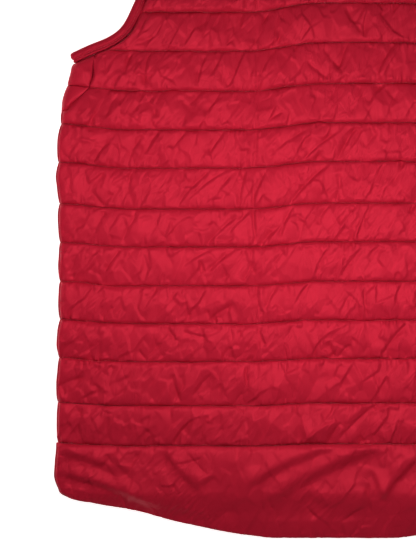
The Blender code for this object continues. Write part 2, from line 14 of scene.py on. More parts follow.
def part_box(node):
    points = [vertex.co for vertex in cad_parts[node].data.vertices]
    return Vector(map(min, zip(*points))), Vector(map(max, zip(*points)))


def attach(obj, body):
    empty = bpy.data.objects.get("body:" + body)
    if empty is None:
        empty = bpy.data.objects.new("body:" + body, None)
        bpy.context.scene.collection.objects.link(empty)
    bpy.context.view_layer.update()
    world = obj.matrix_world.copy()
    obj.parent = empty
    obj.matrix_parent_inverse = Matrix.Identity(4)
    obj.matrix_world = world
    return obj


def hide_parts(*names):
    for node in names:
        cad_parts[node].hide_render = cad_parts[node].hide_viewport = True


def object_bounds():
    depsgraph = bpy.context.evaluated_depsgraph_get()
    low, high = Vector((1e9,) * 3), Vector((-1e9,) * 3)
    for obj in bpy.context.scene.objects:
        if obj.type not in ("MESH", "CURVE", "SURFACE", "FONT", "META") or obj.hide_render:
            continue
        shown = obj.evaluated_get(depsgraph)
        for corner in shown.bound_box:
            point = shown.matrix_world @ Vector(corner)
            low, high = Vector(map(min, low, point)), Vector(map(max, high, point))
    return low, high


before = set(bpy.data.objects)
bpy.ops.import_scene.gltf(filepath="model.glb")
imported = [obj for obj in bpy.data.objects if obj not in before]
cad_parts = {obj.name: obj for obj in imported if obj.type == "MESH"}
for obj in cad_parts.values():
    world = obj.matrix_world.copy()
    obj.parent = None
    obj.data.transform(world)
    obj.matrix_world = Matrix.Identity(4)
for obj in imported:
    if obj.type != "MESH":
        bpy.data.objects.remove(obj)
CAD_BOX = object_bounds()
BODY = "vest"
MM = 0.001
GAP = 0.3

# Padded cloth, as in the solids
FRONT_HEIGHT = 8.0
BACK_BASE = FRONT_HEIGHT + GAP
MIDDLE = FRONT_HEIGHT + GAP / 2
CROWN = 10.5
SEAM = 3.2
QUILT_LINE = 4.9
HEM_BAND_CROWN = 9.0
EDGE_ROUND = 9.0
SEAM_PINCH = 2.2
SIDE_SEAM = 8.0
CHANNEL_PITCH = 40.0
HEM_BAND = 90.0
FRONT_HEM_BAND = 45.0

# Outline, as in the solids
NECK_HALF_WIDTH = 85.0
NECK_LEVEL = 750.0
SHOULDER_LEVEL = 705.0
BACK_NECK_DROP = 20.0
FRONT_NECK_DROP = 85.0
FRONT_HEM_LEVEL = 50.0
FRONT_HEM_FALL = 9.0
FRONT_HEM_FALL_FROM = 236.0
COLLAR_HEIGHT = 60.0
COLLAR_CROWN = 8.5
COLLAR_ROUND = 7.0
PANEL_EDGE_AT_ZIP = 8.0
CORNER_HALF_WIDTH = 263.0
PAST_EDGE = 300.0
TAIL_FALL = 30.0
BINDING_WIDTH = 10.5
BINDING_THICKNESS = 5.0
BINDING_TURN = 4.2
QUILT_LEVELS = np.array([94, 134, 178, 216, 254, 293, 331, 372, 410, 449, 489, 528, 568,
                         608, 648, 688], float)
LAST_BAND = len(QUILT_LEVELS) - 1

# (level, half-width) of the side fold, hem to underarm
SIDE_FOLD = (
    (41, 266.0),
    (45, 274.0),
    (52, 278.5),
    (64, 281.0),
    (95, 280.0),
    (150, 279.0),
    (300, 277.0),
    (370, 279.0),
    (430, 274.5),
    (480, 263.0),
)

# (level, half-width) of the armhole's outer edge, underarm to shoulder
ARMHOLE = (
    (490.0, 259.0),
    (496.0, 246.0),
    (504.0, 227.0),
    (514.0, 214.0),
    (532.0, 204.0),
    (560.0, 193.0),
    (592.0, 186.0),
    (625.0, 184.0),
    (662.0, 185.0),
    (705.0, 190.0),
)

# (level, half-width) where the side seam shows on the back, just under the armhole
SEAM_ON_BACK = (
    (426, 276.0),
    (440, 259.0),
    (452, 248.0),
    (463, 243.5),
    (486, 241.0),
)

# (half-width, level) of the drop-tail hem of the back
BACK_HEM = (
    (0, 0.0),
    (60, 0.5),
    (100, 5.0),
    (150, 15.0),
    (205, 29.0),
    (250, 37.5),
    (266, 41.0),
)

# Main creases of the back: (x, level) to (x, level), half-width and depth. A ridge is negative.
CREASES = (
    # quilted rows next to the underarm
    (-235, 486, -241, 467, 2.6, 1.6),
    (-204, 485, -210, 465, 2.4, 1.7),
    (-195, 470, -183, 452, 1.8, 1.3),
    (-186, 486, -190, 455, 1.8, 1.5),
    (-262, 474, -257, 466, 1.6, 1.0),
    (-129, 484, -138, 455, 1.5, 1.5),
    (-120, 479, -105, 453, 3.5, 1.1),
    (-185, 444, -177, 423, 1.6, 1.6),
    (-156, 444, -138, 426, 4.5, 1.4),
    (-219, 442, -230, 420, 2.4, 1.2),
    (-200, 442, -211, 424, 4.0, -1.3),
    (-247, 449, -267, 430, 2.2, 1.2),
    (-112, 444, -131, 424, 3.0, 1.3),
    (-225, 398, -242, 377, 2.0, 2.0),
    (-194, 402, -208, 372, 1.8, 1.4),
    (-175, 409, -189, 387, 2.2, 1.3),
    (-147, 409, -163, 391, 2.4, 1.3),
    (-110, 408, -127, 384, 2.2, 1.5),
    (-175, 384, -180, 373, 1.2, 1.2),
    (-278, 399, -265, 380, 1.8, 1.0),
    (-260, 402, -236, 398, 5.0, -1.0),
    # left side, middle rows
    (-243, 350, -230, 334, 1.8, 1.5),
    (-222, 346, -231, 333, 1.8, 1.4),
    (-214, 353, -223, 337, 2.2, 1.0),
    (-203, 367, -206, 347, 1.4, 1.1),
    (-155, 369, -145, 357, 1.6, 1.1),
    (-126, 368, -157, 335, 1.7, 1.7),
    (-111, 368, -146, 341, 1.4, 1.4),
    (-105, 363, -120, 342, 1.8, 1.1),
    (-98, 323, -128, 295, 2.4, 1.9),
    (-229, 328, -240, 306, 2.0, 1.0),
    (-196, 327, -213, 297, 2.2, 1.3),
    (-163, 322, -170, 300, 2.0, 0.9),
    (-214, 290, -229, 269, 2.2, 1.8),
    (-253, 291, -263, 276, 1.8, 0.9),
    (-100, 290, -127, 268, 2.2, 1.7),
    (-124, 290, -151, 274, 1.6, 1.3),
    (-191, 286, -185, 268, 2.0, 0.9),
    (-135, 280, -130, 268, 1.8, 1.2),
    (-222, 233, -232, 220, 1.6, 1.2),
    (-149, 238, -145, 223, 1.6, 1.2),
    (-100, 236, -127, 219, 4.5, 1.6),
    (-167, 213, -156, 198, 1.4, 1.4),
    (-174, 196, -190, 179, 2.8, 1.7),
    (-196, 191, -187, 179, 1.8, 1.2),
    (-232, 208, -235, 184, 3.0, 1.0),
    (-104, 193, -112, 179, 1.6, 1.2),
    (-152, 209, -128, 203, 1.6, 1.0),
    (-162, 165, -154, 139, 1.8, 1.8),
    (-183, 171, -191, 160, 1.4, 1.0),
    (-124, 166, -142, 144, 3.2, 1.3),
    (-251, 163, -279, 153, 4.5, 1.7),
    (-234, 150, -254, 140, 3.0, 1.3),
    # middle of the back, upper rows
    (-66, 526, -82, 496, 4.5, 1.7),
    (-54, 526, -61, 492, 1.3, 1.2),
    (11, 532, 28, 506, 5.0, 1.6),
    (45, 527, 61, 508, 4.0, 1.2),
    (31, 527, 29, 503, 1.4, 1.2),
    (-62, 487, -75, 463, 1.8, 1.1),
    (15, 499, 4, 470, 2.8, 1.9),
    (-11, 491, 4, 472, 3.4, 1.4),
    (-28, 478, -6, 461, 3.0, 1.4),
    (61, 497, 41, 464, 2.0, 1.8),
    (66, 494, 46, 462, 2.2, -1.3),
    (48, 457, 33, 435, 3.4, 1.5),
    (50, 451, 63, 437, 2.2, 1.0),
    (27, 455, 17, 426, 1.6, 1.3),
    (-52, 428, -73, 414, 1.6, 1.1),
    (-38, 452, -60, 441, 5.0, -1.0),
    # middle of the back, middle rows
    (22, 413, 3, 379, 2.0, 2.2),
    (3, 408, -35, 376, 1.4, 1.5),
    (-11, 388, -22, 376, 1.6, 1.3),
    (-27, 410, -66, 384, 1.8, 1.0),
    (43, 408, 30, 392, 4.0, 1.2),
    (-8, 374, -45, 336, 1.8, 2.0),
    (-69, 369, -82, 336, 1.5, 1.5),
    (-89, 369, -95, 336, 1.5, 1.3),
    (5, 366, 8, 341, 3.0, 1.2),
    (48, 376, 36, 346, 1.8, 1.2),
    (71, 371, 56, 356, 1.6, 0.9),
    (38, 339, 22, 301, 1.5, 2.0),
    (-40, 336, -55, 303, 1.6, 1.6),
    (-81, 331, -107, 306, 1.6, 1.4),
    (-9, 331, -16, 316, 1.6, 1.0),
    (10, 313, 0, 297, 2.4, 1.3),
    (-62, 309, -74, 293, 1.6, 1.5),
    (81, 338, 74, 327, 2.0, 1.1),
    (-81, 277, -91, 258, 1.8, 1.5),
    (-8, 291, -20, 266, 1.4, 1.7),
    (26, 291, 5, 263, 2.2, 1.6),
    (-51, 289, -60, 277, 1.8, 1.1),
    (-58, 253, -69, 230, 1.6, 1.4),
    (29, 251, 32, 223, 1.6, 1.7),
    (18, 249, 4, 224, 2.4, 1.1),
    (-78, 246, -72, 226, 1.8, 1.3),
    (-76, 211, -69, 194, 1.5, 1.5),
    (-93, 209, -100, 192, 1.8, 1.0),
    (73, 218, 46, 184, 2.2, 1.8),
    (-6, 198, 2, 180, 2.0, 1.5),
    (15, 196, 2, 181, 2.0, 1.5),
    (6, 176, -1, 161, 1.8, 1.1),
    # row above the hem band
    (-142, 121, -163, 95, 1.8, 1.9),
    (-186, 111, -191, 95, 1.8, 1.3),
    (-252, 130, -256, 105, 2.4, 1.1),
    (46, 138, 4, 101, 4.2, 2.0),
    (-3, 119, -36, 95, 3.6, -1.8),
    (4, 117, -8, 97, 3.0, 1.3),
    (-88, 122, -104, 96, 2.4, 1.1),
    (25, 105, 33, 94, 1.4, 1.4),
)

# Large soft folds of the unquilted hem band, in the same form
HEM_FOLDS = (
    (6, 90, -88, 46, 6.0, 3.0),
    (52, 86, -64, 31, 8.0, 4.4),
    (86, 80, 48, 34, 4.5, 2.6),
    (-216, 60, -276, 83, 6.0, 2.8),
    (-180, 26, -276, 62, 5.0, 3.2),
    (-226, 84, -208, 62, 4.0, 1.8),
    (-176, 87, -136, 46, 5.0, 2.2),
    (-96, 74, -104, 18, 8.0, 1.8),
    (36, 68, 49, 36, 3.0, 1.8),
    (-118, 62, -134, 52, 3.5, 1.4),
    (-30, 44, -10, 30, 5.0, 1.6),
    (160, 88, 92, 40, 8.0, 3.2),
    (238, 84, 178, 46, 7.0, 2.8),
    (205, 90, 150, 34, 5.0, 2.0),
    (268, 62, 196, 36, 5.0, 2.6),
    (130, 86, 124, 58, 3.0, 1.6),
)

# Short sharp creases of the hem band
HEM_CREASES = (
    (-195, 87, -208, 63, 1.6, 1.2),
    (-228, 86, -222, 76, 1.4, 0.8),
    (-146, 86, -128, 66, 1.5, 0.8),
    (-158, 76, -134, 82, 2.0, 0.8),
    (-104, 56, -112, 40, 1.5, 0.7),
    (-74, 50, -70, 26, 1.4, 0.7),
    (-66, 48, -62, 30, 1.4, 0.6),
    (34, 56, 36, 28, 1.5, 1.1),
    (30, 32, 8, 18, 1.8, 0.9),
    (-32, 40, -18, 22, 1.5, 0.8),
    (180, 78, 172, 56, 1.6, 1.0),
    (110, 44, 120, 24, 1.5, 0.9),
)

# (level, x) of the fold line that storing left down the back
FOLD_LINE = ((40, -84), (100, -88), (160, -89), (200, -81), (340, -81), (400, -79), (480, -77),
             (540, -80), (690, -84))
FOLD_LINE_DEPTH = 1.6
FOLD_LINE_WIDTH = 1.1

# Rise of the quilting lines at the side folds and over the middle of the back: that of the
# lowest line, and what the top line has more
SIDE_RISE = (3.0, 7.0)
MIDDLE_RISE = (2.0, 10.0)
MIDDLE_RISE_X = 27.0

SHELL_RED = (0.49, 0.0112, 0.0315)
BACK_MIDDLE = (15.0, 340.0)
NOISE_CELLS = 61

# Creases: reach of their steep and gentle sides in half-widths, depth against the tables', bow
# against their length, and the shares of it over which they run on and fade at each end
CREASE_STEEP = 0.45
CREASE_GENTLE = 2.4
CREASE_DEPTH = 1.65
CREASE_BOW = 0.04
CREASE_RUN_ON = 0.08
CREASE_FADE = 0.25

# Hem folds: reach of their gentle side, and height, place and outer reach of the swell that
# lies past their steep side
FOLD_GENTLE = 2.5
SWELL_HEIGHT = 0.65
SWELL_OFFSET = 1.7
SWELL_REACH = 2.0

# Facets of crumpled cloth: turn in degrees, length, breadth and tilt
WIDE_FACETS = (60.0, 34.0, 14.0, 0.16)
CROSS_FACETS = (112.0, 26.0, 12.0, 0.13)
SMALL_FACETS = (52.0, 15.0, 5.5, 0.22)
FACET_SHARPNESS = 27.0
FACET_JITTER = 0.42
CROWDED_FROM = 80.0
CROWDED_RISE = 60.0

# Channels: the share that they sink, how far up, and the first band that sinks from its upper
# line; then the height of the puckers beside the stitching and how far they reach
SLUMP = 0.42
SLUMP_SPAN = 0.42
SLUMP_START = 0.44
SLUMP_TURN_BAND = 8
PUCKER = 2.1
PUCKER_REACH = 4.2

# Leans in degrees and half-widths of the creases on cloth that lies hidden
HIDDEN_LEANS = (62.0, 62.0, 55.0, 122.0)
HIDDEN_WIDTHS = (1.5, 1.8, 2.4, 3.6)


# ---------------------------------------------------------------- curves and outline

def smoothstep(value):
    value = np.clip(value, 0.0, 1.0)
    return value * value * (3.0 - 2.0 * value)


def smooth_table(table, at):
    """Values at `at` on a smooth curve through a table's rows, held flat past its ends."""
    keys, values = np.array(table, float).T
    steps = np.diff(values) / np.diff(keys)
    steps = np.concatenate([steps[:1], steps, steps[-1:]])
    limits = 3.0 * np.minimum(np.abs(steps[:-1]), np.abs(steps[1:]))
    limits *= steps[:-1] * steps[1:] > 0
    slopes = np.clip(np.gradient(values, keys), -limits, limits)
    at = np.clip(at, keys[0], keys[-1])
    row = np.clip(np.searchsorted(keys, at) - 1, 0, len(keys) - 2)
    span = keys[row + 1] - keys[row]
    t = (at - keys[row]) / span
    rise = values[row + 1] - values[row]
    start, end = slopes[row] * span, slopes[row + 1] * span
    curve = (start + end - 2 * rise) * t + (3 * rise - 2 * start - end)
    return values[row] + t * (start + t * curve)


def curve_through(points, steps):
    """Catmull-Rom curve through 2D points, with `steps` pieces between neighbours."""
    points = [np.array(point, float) for point in points]
    ends = [2 * points[0] - points[1]] + points + [2 * points[-1] - points[-2]]
    curve = []
    for before, start, end, after in zip(ends, ends[1:], ends[2:], ends[3:]):
        for t in np.arange(steps) / steps:
            linear = end - before
            square = 2 * before - 5 * start + 4 * end - after
            cube = 3 * (start - end) + after - before
            curve.append(start + 0.5 * t * (linear + t * (square + t * cube)))
    curve.append(points[-1])
    return np.array(curve)


def inward_normals(path):
    """Unit normals of the armhole path, pointing into the cloth."""
    along = np.gradient(path, axis=0)
    along /= np.linalg.norm(along, axis=1)[:, None]
    return np.stack([-along[:, 1], along[:, 0]], axis=1)


COARSE_PATH = curve_through([(row[1], row[0]) for row in ARMHOLE], 4)
PANEL_EDGE = COARSE_PATH + inward_normals(COARSE_PATH) * (BINDING_WIDTH + GAP)
END_RUN = PANEL_EDGE[0] - PANEL_EDGE[2]
SIDE_CORNER = PANEL_EDGE[0] + END_RUN * (CORNER_HALF_WIDTH - PANEL_EDGE[0][0]) / END_RUN[0]
CORNER_LEVEL = SIDE_CORNER[1]
PANEL_EDGE = np.vstack([SIDE_CORNER, PANEL_EDGE])
TOP_EDGE = PANEL_EDGE[-1][0]
SEAM_TOP_LEVEL = float(np.interp(-SEAM_ON_BACK[-1][1], -PANEL_EDGE[:, 0], PANEL_EDGE[:, 1]))


def half_width(level):
    """Outer edge of the panels at a level: the side fold, then the armhole seam."""
    bound = np.interp(level, PANEL_EDGE[:, 1], PANEL_EDGE[:, 0])
    return np.where(level <= CORNER_LEVEL, smooth_table(SIDE_FOLD, level), bound)


def seam_inset(level):
    """How far inside the side fold the side seam lies on the back."""
    shown = (level >= SEAM_ON_BACK[0][0]) & (level <= SEAM_TOP_LEVEL)
    inset = np.maximum(half_width(level) - smooth_table(SEAM_ON_BACK, level), 0.0)
    return np.where(shown, inset, 0.0)


def shoulder_level(x):
    slope = (NECK_LEVEL - SHOULDER_LEVEL) / (ARMHOLE[-1][1] - NECK_HALF_WIDTH)
    return NECK_LEVEL - slope * (np.abs(x) - NECK_HALF_WIDTH)


def back_neck_level(x):
    share = np.minimum(np.abs(x) / NECK_HALF_WIDTH, 1.0)
    return NECK_LEVEL - BACK_NECK_DROP * (1.0 - share ** 2.5)


def back_top_level(x):
    return np.where(np.abs(x) < NECK_HALF_WIDTH, back_neck_level(x), shoulder_level(x))


def front_neck_level(x):
    share = np.minimum(np.abs(x) / NECK_HALF_WIDTH, 1.0)
    return NECK_LEVEL - FRONT_NECK_DROP * np.sqrt(1.0 - share * share)


def front_neck_half_width(level):
    """Inner edge of a front at a level: the zip, then the neckline's quarter ellipse."""
    share = np.clip((NECK_LEVEL - level) / FRONT_NECK_DROP, 0.0, 1.0)
    return np.maximum(PANEL_EDGE_AT_ZIP, NECK_HALF_WIDTH * np.sqrt(1.0 - share * share))


def back_hem_level(x):
    return smooth_table(BACK_HEM, np.abs(x))


def front_hem_level(x):
    return FRONT_HEM_LEVEL - FRONT_HEM_FALL * smoothstep((np.abs(x) - FRONT_HEM_FALL_FROM) / 30.0)


def quilt_line(index, x, yoke):
    """Level of a quilting line: higher at the side folds and, by `yoke`, over the middle."""
    level = QUILT_LEVELS[index]
    share = (level - QUILT_LEVELS[0]) / (QUILT_LEVELS[-1] - QUILT_LEVELS[0])
    side = SIDE_RISE[0] + SIDE_RISE[1] * share
    side = side * smoothstep((np.abs(x) - 205.0) / 80.0)
    middle = MIDDLE_RISE[0] + MIDDLE_RISE[1] * share
    middle = middle * smoothstep((115.0 - np.abs(x - MIDDLE_RISE_X)) / 75.0)
    return level + side + yoke * middle


# ---------------------------------------------------------------- rows of a quilted panel

def bisected(inside, low, high):
    """Where `inside` turns false between two arrays of numbers."""
    for _ in range(30):
        middle = (low + high) / 2
        kept = inside(middle)
        low, high = np.where(kept, middle, low), np.where(kept, high, middle)
    return (low + high) / 2


class Rows:
    """Rows of a panel: band -1 is the hem band, v runs from a band's lower line to its upper."""

    def __init__(self, hem, channel, hem_level, top_level, yoke):
        shares = np.concatenate([[0.0, 0.01, 0.032], np.linspace(0.08, 0.92, channel),
                                 [0.968, 0.99]])
        low = np.concatenate([np.linspace(0.0, 0.95, hem), [0.985, 0.996]])
        band = [np.full(len(low), -1)]
        v = [low]
        for index in range(LAST_BAND + 1):
            band.append(np.full(len(shares), index))
            v.append(shares)
        self.band = np.concatenate(band + [[LAST_BAND]])[:, None]
        self.v = np.concatenate(v + [[1.0]])[:, None]
        self.hem_level, self.top_level, self.yoke = hem_level, top_level, yoke
        self.stitched = (self.v[:, 0] == 0.0) & (self.band[:, 0] >= 0)

    def level(self, x):
        line = quilt_line(np.maximum(self.band, 0), x, self.yoke)
        above = quilt_line(np.minimum(self.band + 1, LAST_BAND), x, self.yoke)
        low = np.where(self.band < 0, self.hem_level(x), line)
        high = np.where(self.band < 0, quilt_line(0, x, self.yoke), above)
        high = np.where(self.band == LAST_BAND, self.top_level(x), high)
        return low + self.v * (high - low)

    def edge(self):
        """Outer edge of each row, where its level and the panel's outline agree."""
        edge = bisected(lambda x: half_width(self.level(x)) > x,
                        np.zeros_like(self.v), np.full_like(self.v, PAST_EDGE))
        edge[-1] = TOP_EDGE
        return edge

    def inner_edge(self):
        """Where each row of a front meets the zip or the neckline."""
        return bisected(lambda x: front_neck_half_width(self.level(x)) > x,
                        np.full_like(self.v, PANEL_EDGE_AT_ZIP),
                        np.full_like(self.v, NECK_HALF_WIDTH))

    def pinch(self, level):
        """Stitched lines draw the side fold in a little."""
        drawn = SEAM_PINCH * (1.0 - np.sqrt(4.0 * self.v * (1.0 - self.v)))
        return np.where((self.band < 0) | (level > CORNER_LEVEL), 0.0, drawn)

    def reach(self):
        """Distance of each row from the nearest line of stitches or hem."""
        distance = np.minimum(self.v, 1.0 - self.v) * CHANNEL_PITCH
        hem = np.minimum((1.0 - self.v) * HEM_BAND, self.v * HEM_BAND + 1.5)
        return np.where(self.band < 0, hem, distance)

    def seam_share(self):
        """0 on the stitched lines, 1 from a few millimetres off them."""
        return smoothstep(self.reach() / 3.0)


# ---------------------------------------------------------------- relief and folds

def value_noise(x, y, seed, ease=smoothstep):
    """Noise with unit cells and about unit spread, eased between its knots."""
    knots = np.random.default_rng(seed).normal(size=(NOISE_CELLS, NOISE_CELLS))
    column, row = np.floor(x).astype(int), np.floor(y).astype(int)
    across, up = ease(x - column), ease(y - row)
    column, row = column % NOISE_CELLS, row % NOISE_CELLS
    right, above = (column + 1) % NOISE_CELLS, (row + 1) % NOISE_CELLS
    low = knots[row, column] * (1 - across) + knots[row, right] * across
    high = knots[above, column] * (1 - across) + knots[above, right] * across
    return low * (1 - up) + high * up


def crease_relief(x, level, creases, soft=False):
    """Height of troughs, and ridges where the depth is negative, along short bowed lines.

    The side of each that is nearest the middle of the back is steep, and the other gentle.
    """
    relief = np.zeros_like(x)
    for start_x, start_level, end_x, end_level, width, depth in creases:
        run = math.hypot(end_x - start_x, end_level - start_level)
        across_x, across_level = (end_level - start_level) / run, (start_x - end_x) / run
        away_x, away_level = x - start_x, level - start_level
        along = (across_x * away_level - across_level * away_x) / run
        across = across_x * away_x + across_level * away_level
        across = across - CREASE_BOW * run * np.sin(math.pi * np.clip(along, 0.0, 1.0))
        taper = smoothstep((along + CREASE_RUN_ON) / CREASE_FADE)
        taper *= smoothstep((1.0 + CREASE_RUN_ON - along) / CREASE_FADE)
        inward = across_x * (BACK_MIDDLE[0] - start_x)
        inward += across_level * (BACK_MIDDLE[1] - start_level)
        across = math.copysign(1.0, inward) * across / width
        if soft:
            trough = np.exp(-np.where(across > 0, across, across / FOLD_GENTLE) ** 2)
            beside = across - SWELL_OFFSET
            beside = np.where(beside > 0, beside / SWELL_REACH, beside)
            trough -= SWELL_HEIGHT * np.exp(-beside ** 2)
        else:
            steep, gentle = -across / CREASE_STEEP, across / CREASE_GENTLE
            trough = CREASE_DEPTH * np.exp(np.minimum(np.minimum(steep, gentle), 0.0))
        relief -= depth * taper * trough
    return relief


def facets(x, level, seed, kind):
    """Nearly flat pieces of cloth that meet in thin creases: `kind` gives their turn, size, tilt."""
    turn, long, short, tilt = kind
    table = np.random.default_rng(seed).uniform(-1.0, 1.0, (4, NOISE_CELLS, NOISE_CELLS))
    angle = math.radians(turn)
    along = (x * math.cos(angle) + level * math.sin(angle)) / long
    across = (level * math.cos(angle) - x * math.sin(angle)) / short
    column, row = np.floor(along).astype(int), np.floor(across).astype(int)
    relief, total = np.zeros_like(along), np.zeros_like(along)
    for right in (-1, 0, 1):
        for up in (-1, 0, 1):
            place = ((row + up) % NOISE_CELLS, (column + right) % NOISE_CELLS)
            away = along - column - right - 0.5 - FACET_JITTER * table[0][place]
            off = across - row - up - 0.5 - FACET_JITTER * table[1][place]
            share = np.exp(-FACET_SHARPNESS * (away * away + off * off))
            slope = table[2][place] * away * short + table[3][place] * off * short
            relief += share * slope
            total += share
    return tilt * relief / total


def crumple(x, level, seed):
    """Relief of crumpled cloth: wide facets everywhere, and small ones in patches.

    The small ones crowd towards both sides.
    """
    wide = facets(x, level, seed + 1, WIDE_FACETS)
    cross = facets(x, level, seed + 2, CROSS_FACETS)
    small = facets(x, level, seed + 3, SMALL_FACETS)
    sideways = np.abs(x - BACK_MIDDLE[0])
    crowding = 0.1 + 0.5 * smoothstep((sideways - CROWDED_FROM) / CROWDED_RISE)
    patches = smoothstep(crowding + 0.8 * value_noise(x / 31.0, level / 23.0, seed + 4))
    return wide + cross + small * patches


def puckers(rows, x, seed):
    """Short ripples that the stitching draws into the cloth beside each line."""
    reach = rows.reach()
    ripple = np.abs(value_noise(x / 2.6, rows.band * 3.3 + np.round(rows.v) * 1.7, seed)) - 0.5
    strength = 0.6 + 0.5 * value_noise(x / 24.0, rows.band * 1.9, seed + 1)
    return PUCKER * ripple * strength * np.exp(-reach / PUCKER_REACH) * smoothstep(reach)


def scattered_creases(seed, count, xs, levels, quilted=True):
    """Main creases for cloth that lies hidden, like those that show."""
    draw = np.random.default_rng(seed)
    creases = []
    for _ in range(count):
        x = draw.uniform(*xs)
        level = draw.uniform(*levels)
        lean = math.radians(draw.choice(HIDDEN_LEANS) + draw.uniform(-14, 14))
        run = draw.uniform(14.0, 36.0)
        if quilted:
            band = int(np.clip(np.searchsorted(QUILT_LEVELS, level) - 1, 0, LAST_BAND - 1))
            level = QUILT_LEVELS[band] + draw.uniform(14.0, 26.0)
        reach = (0.5 * run * math.cos(lean), 0.5 * run * math.sin(lean))
        width = draw.choice(HIDDEN_WIDTHS) * draw.uniform(0.85, 1.15)
        ends = (x + reach[0], level + reach[1], x - reach[0], level - reach[1])
        creases.append((*ends, width, draw.uniform(1.0, 2.0)))
    return creases


def fold_line_relief(x, level):
    """A narrow trough with faint pleats beside it, all the way down the back."""
    still = np.zeros_like(level)
    away = x - smooth_table(FOLD_LINE, level) - 1.2 * value_noise(level / 19.0, still, 31)
    shown = smoothstep((level - 60.0) / 50.0) * smoothstep((700.0 - level) / 60.0)
    strength = 0.7 + 0.5 * value_noise(level / 27.0, still, 32)
    trough = -FOLD_LINE_DEPTH * strength * np.exp(-(away / FOLD_LINE_WIDTH) ** 2)
    beside = 0.15 * np.sin(away * 0.9 + 2.0 * value_noise(level / 30.0, still, 33))
    return shown * (trough + beside * np.exp(-(away / 9.0) ** 2))


def straight(value):
    """Ease for noise that runs straight from knot to knot."""
    return value


def slump(rows, x, seed):
    """Share of its fullness that a channel keeps: it sinks past a wavy line.

    Channels of the lower back sink along their lower line, and the others along their upper.
    """
    v, place = rows.v, rows.band * 5.7
    low = SLUMP_START + 0.15 * value_noise(x / 12.0, place, seed, straight)
    low = low + 0.06 * value_noise(x / 4.5, place, seed + 1, straight)
    fall = np.where(rows.band < SLUMP_TURN_BAND, low - v, v + low - 1.0)
    depth = SLUMP * (0.8 + 0.5 * value_noise(x / 50.0, place, seed + 2))
    return 1.0 - np.clip(depth, 0.05, 1.3 * SLUMP) * np.clip(fall / SLUMP_SPAN, 0.0, 1.2)


def loft(rows, x, seed, low, high):
    """Thickness across the channels: full, uneven and drawn down to the stitched lines."""
    v, place = rows.v, rows.band * 7.3
    lean = 0.10 * value_noise(x / 33.0, place, seed)
    lean = np.clip(lean + 0.03 * value_noise(x / 13.0, place, seed + 1), -0.17, 0.17)
    bulge = 4.0 * v * (1.0 - v)
    warped = np.clip(v + lean * bulge, 0.0, 1.0)
    shape = 0.21 + 0.03 * value_noise(x / 21.0, place + np.round(v) * 3.1, seed + 2)
    full = (4.0 * warped * (1.0 - warped)) ** np.clip(shape, 0.16, 0.40)
    crown = 0.97 + 0.05 * value_noise(x / 37.0, rows.level(x) / 26.0, seed + 3)
    return low + (high * crown - low) * full * slump(rows, x, seed + 5)


def hem_band_thickness(rows, x):
    """Thickness of the unquilted band, drawn down to its line of stitches."""
    v = rows.v
    shape = np.minimum(1.0, 0.05 + v * 5.0) * np.sqrt(np.clip(1.0 - v ** 9, 0.0, 1.0))
    crown = HEM_BAND_CROWN * (1.0 + 0.10 * value_noise(x / 45.0, v * 3.0, 77))
    return QUILT_LINE + (crown - QUILT_LINE) * shape


# (rows down, columns across, stiffness, only pushes) of the links between points of a grid
LINKS = ((0, 1, 0.9, False), (1, 0, 0.9, False), (1, 1, 0.45, False), (1, -1, 0.45, False),
         (0, 2, 0.55, True), (2, 0, 0.55, True))

# Room along the panel against that across it, hold on the target, push of the filling, the
# furthest that a point moves, also against its distance from a seam, and the rounds of settling
ALONG_SHARE = 0.45
HOLD = 0.02
PUSH = 0.015
CAP = 2.4
CAP_SHARE = 0.35
STEPS = 260
TINY = 1e-9


def link_slices(shape, down, across):
    """Pairs of grid parts `down` rows and `across` columns apart, each point once in a pair."""
    rows, columns = shape
    step = 2 * max(down, abs(across))
    for start in range(step):
        if down:
            first_rows = slice(start, rows - down, step)
            second_rows = slice(start + down, rows, step)
            first_columns = slice(max(-across, 0), columns - max(across, 0))
            second_columns = slice(max(across, 0), columns - max(-across, 0))
        else:
            first_rows = second_rows = slice(None)
            first_columns = slice(start, columns - across, step)
            second_columns = slice(start + across, columns, step)
        yield (first_rows, first_columns), (second_rows, second_columns)


def cut_length(flat, first, second, loose, lean):
    """Cut length of a link: its length in the neat shape, with room and a lean added."""
    across, along, up = (axis[second] - axis[first] for axis in flat)
    room = 0.5 * (loose[first] + loose[second])
    shear = 0.5 * (lean[first] + lean[second])
    wide = across * (1.0 + room) - shear * along
    return np.sqrt(wide ** 2 + (along * (1.0 + ALONG_SHARE * room)) ** 2 + up ** 2)


def relax(points, first, second, length, free, stiffness, only_push):
    """Move linked points towards their cut length."""
    span = points[:, *second] - points[:, *first]
    now = np.sqrt((span ** 2).sum(axis=0)) + TINY
    share = (now - length) / now
    if only_push:
        share = np.minimum(share, 0.0)
    share *= stiffness / np.maximum(free[first] + free[second], TINY)
    points[:, *first] += share * free[first] * span
    points[:, *second] -= share * free[second] * span


def settle(flat, target, free, loose, lean, push, floor, reach):
    """Let cloth that is cut too large for its place buckle into folds between its seams.

    Links keep their cut length, filling pushes the cloth off its lining, and it is held
    softly to the target height. `reach` is each point's distance to the nearest seam.
    """
    links = []
    for down, across, stiffness, only_push in LINKS:
        for first, second in link_slices(flat[0].shape, down, across):
            length = cut_length(flat, first, second, loose, lean)
            links.append((first, second, length, free, stiffness, only_push))
    start = np.stack([flat[0], flat[1], target])
    points = start.copy()
    for _ in range(STEPS):
        points[2] += (push + HOLD * (target - points[2])) * free
        for link in links:
            relax(points, *link)
        if push > 0:
            points[2] = np.maximum(points[2], floor)
        else:
            points[2] = np.clip(points[2], 0.0, floor)
    cap = np.minimum(CAP, CAP_SHARE * reach)
    return np.clip(points, start - cap, start + cap)


# ---------------------------------------------------------------- materials

WAVE_PERIOD = 0.314    # metres between the crests of a wave texture whose scale is 1


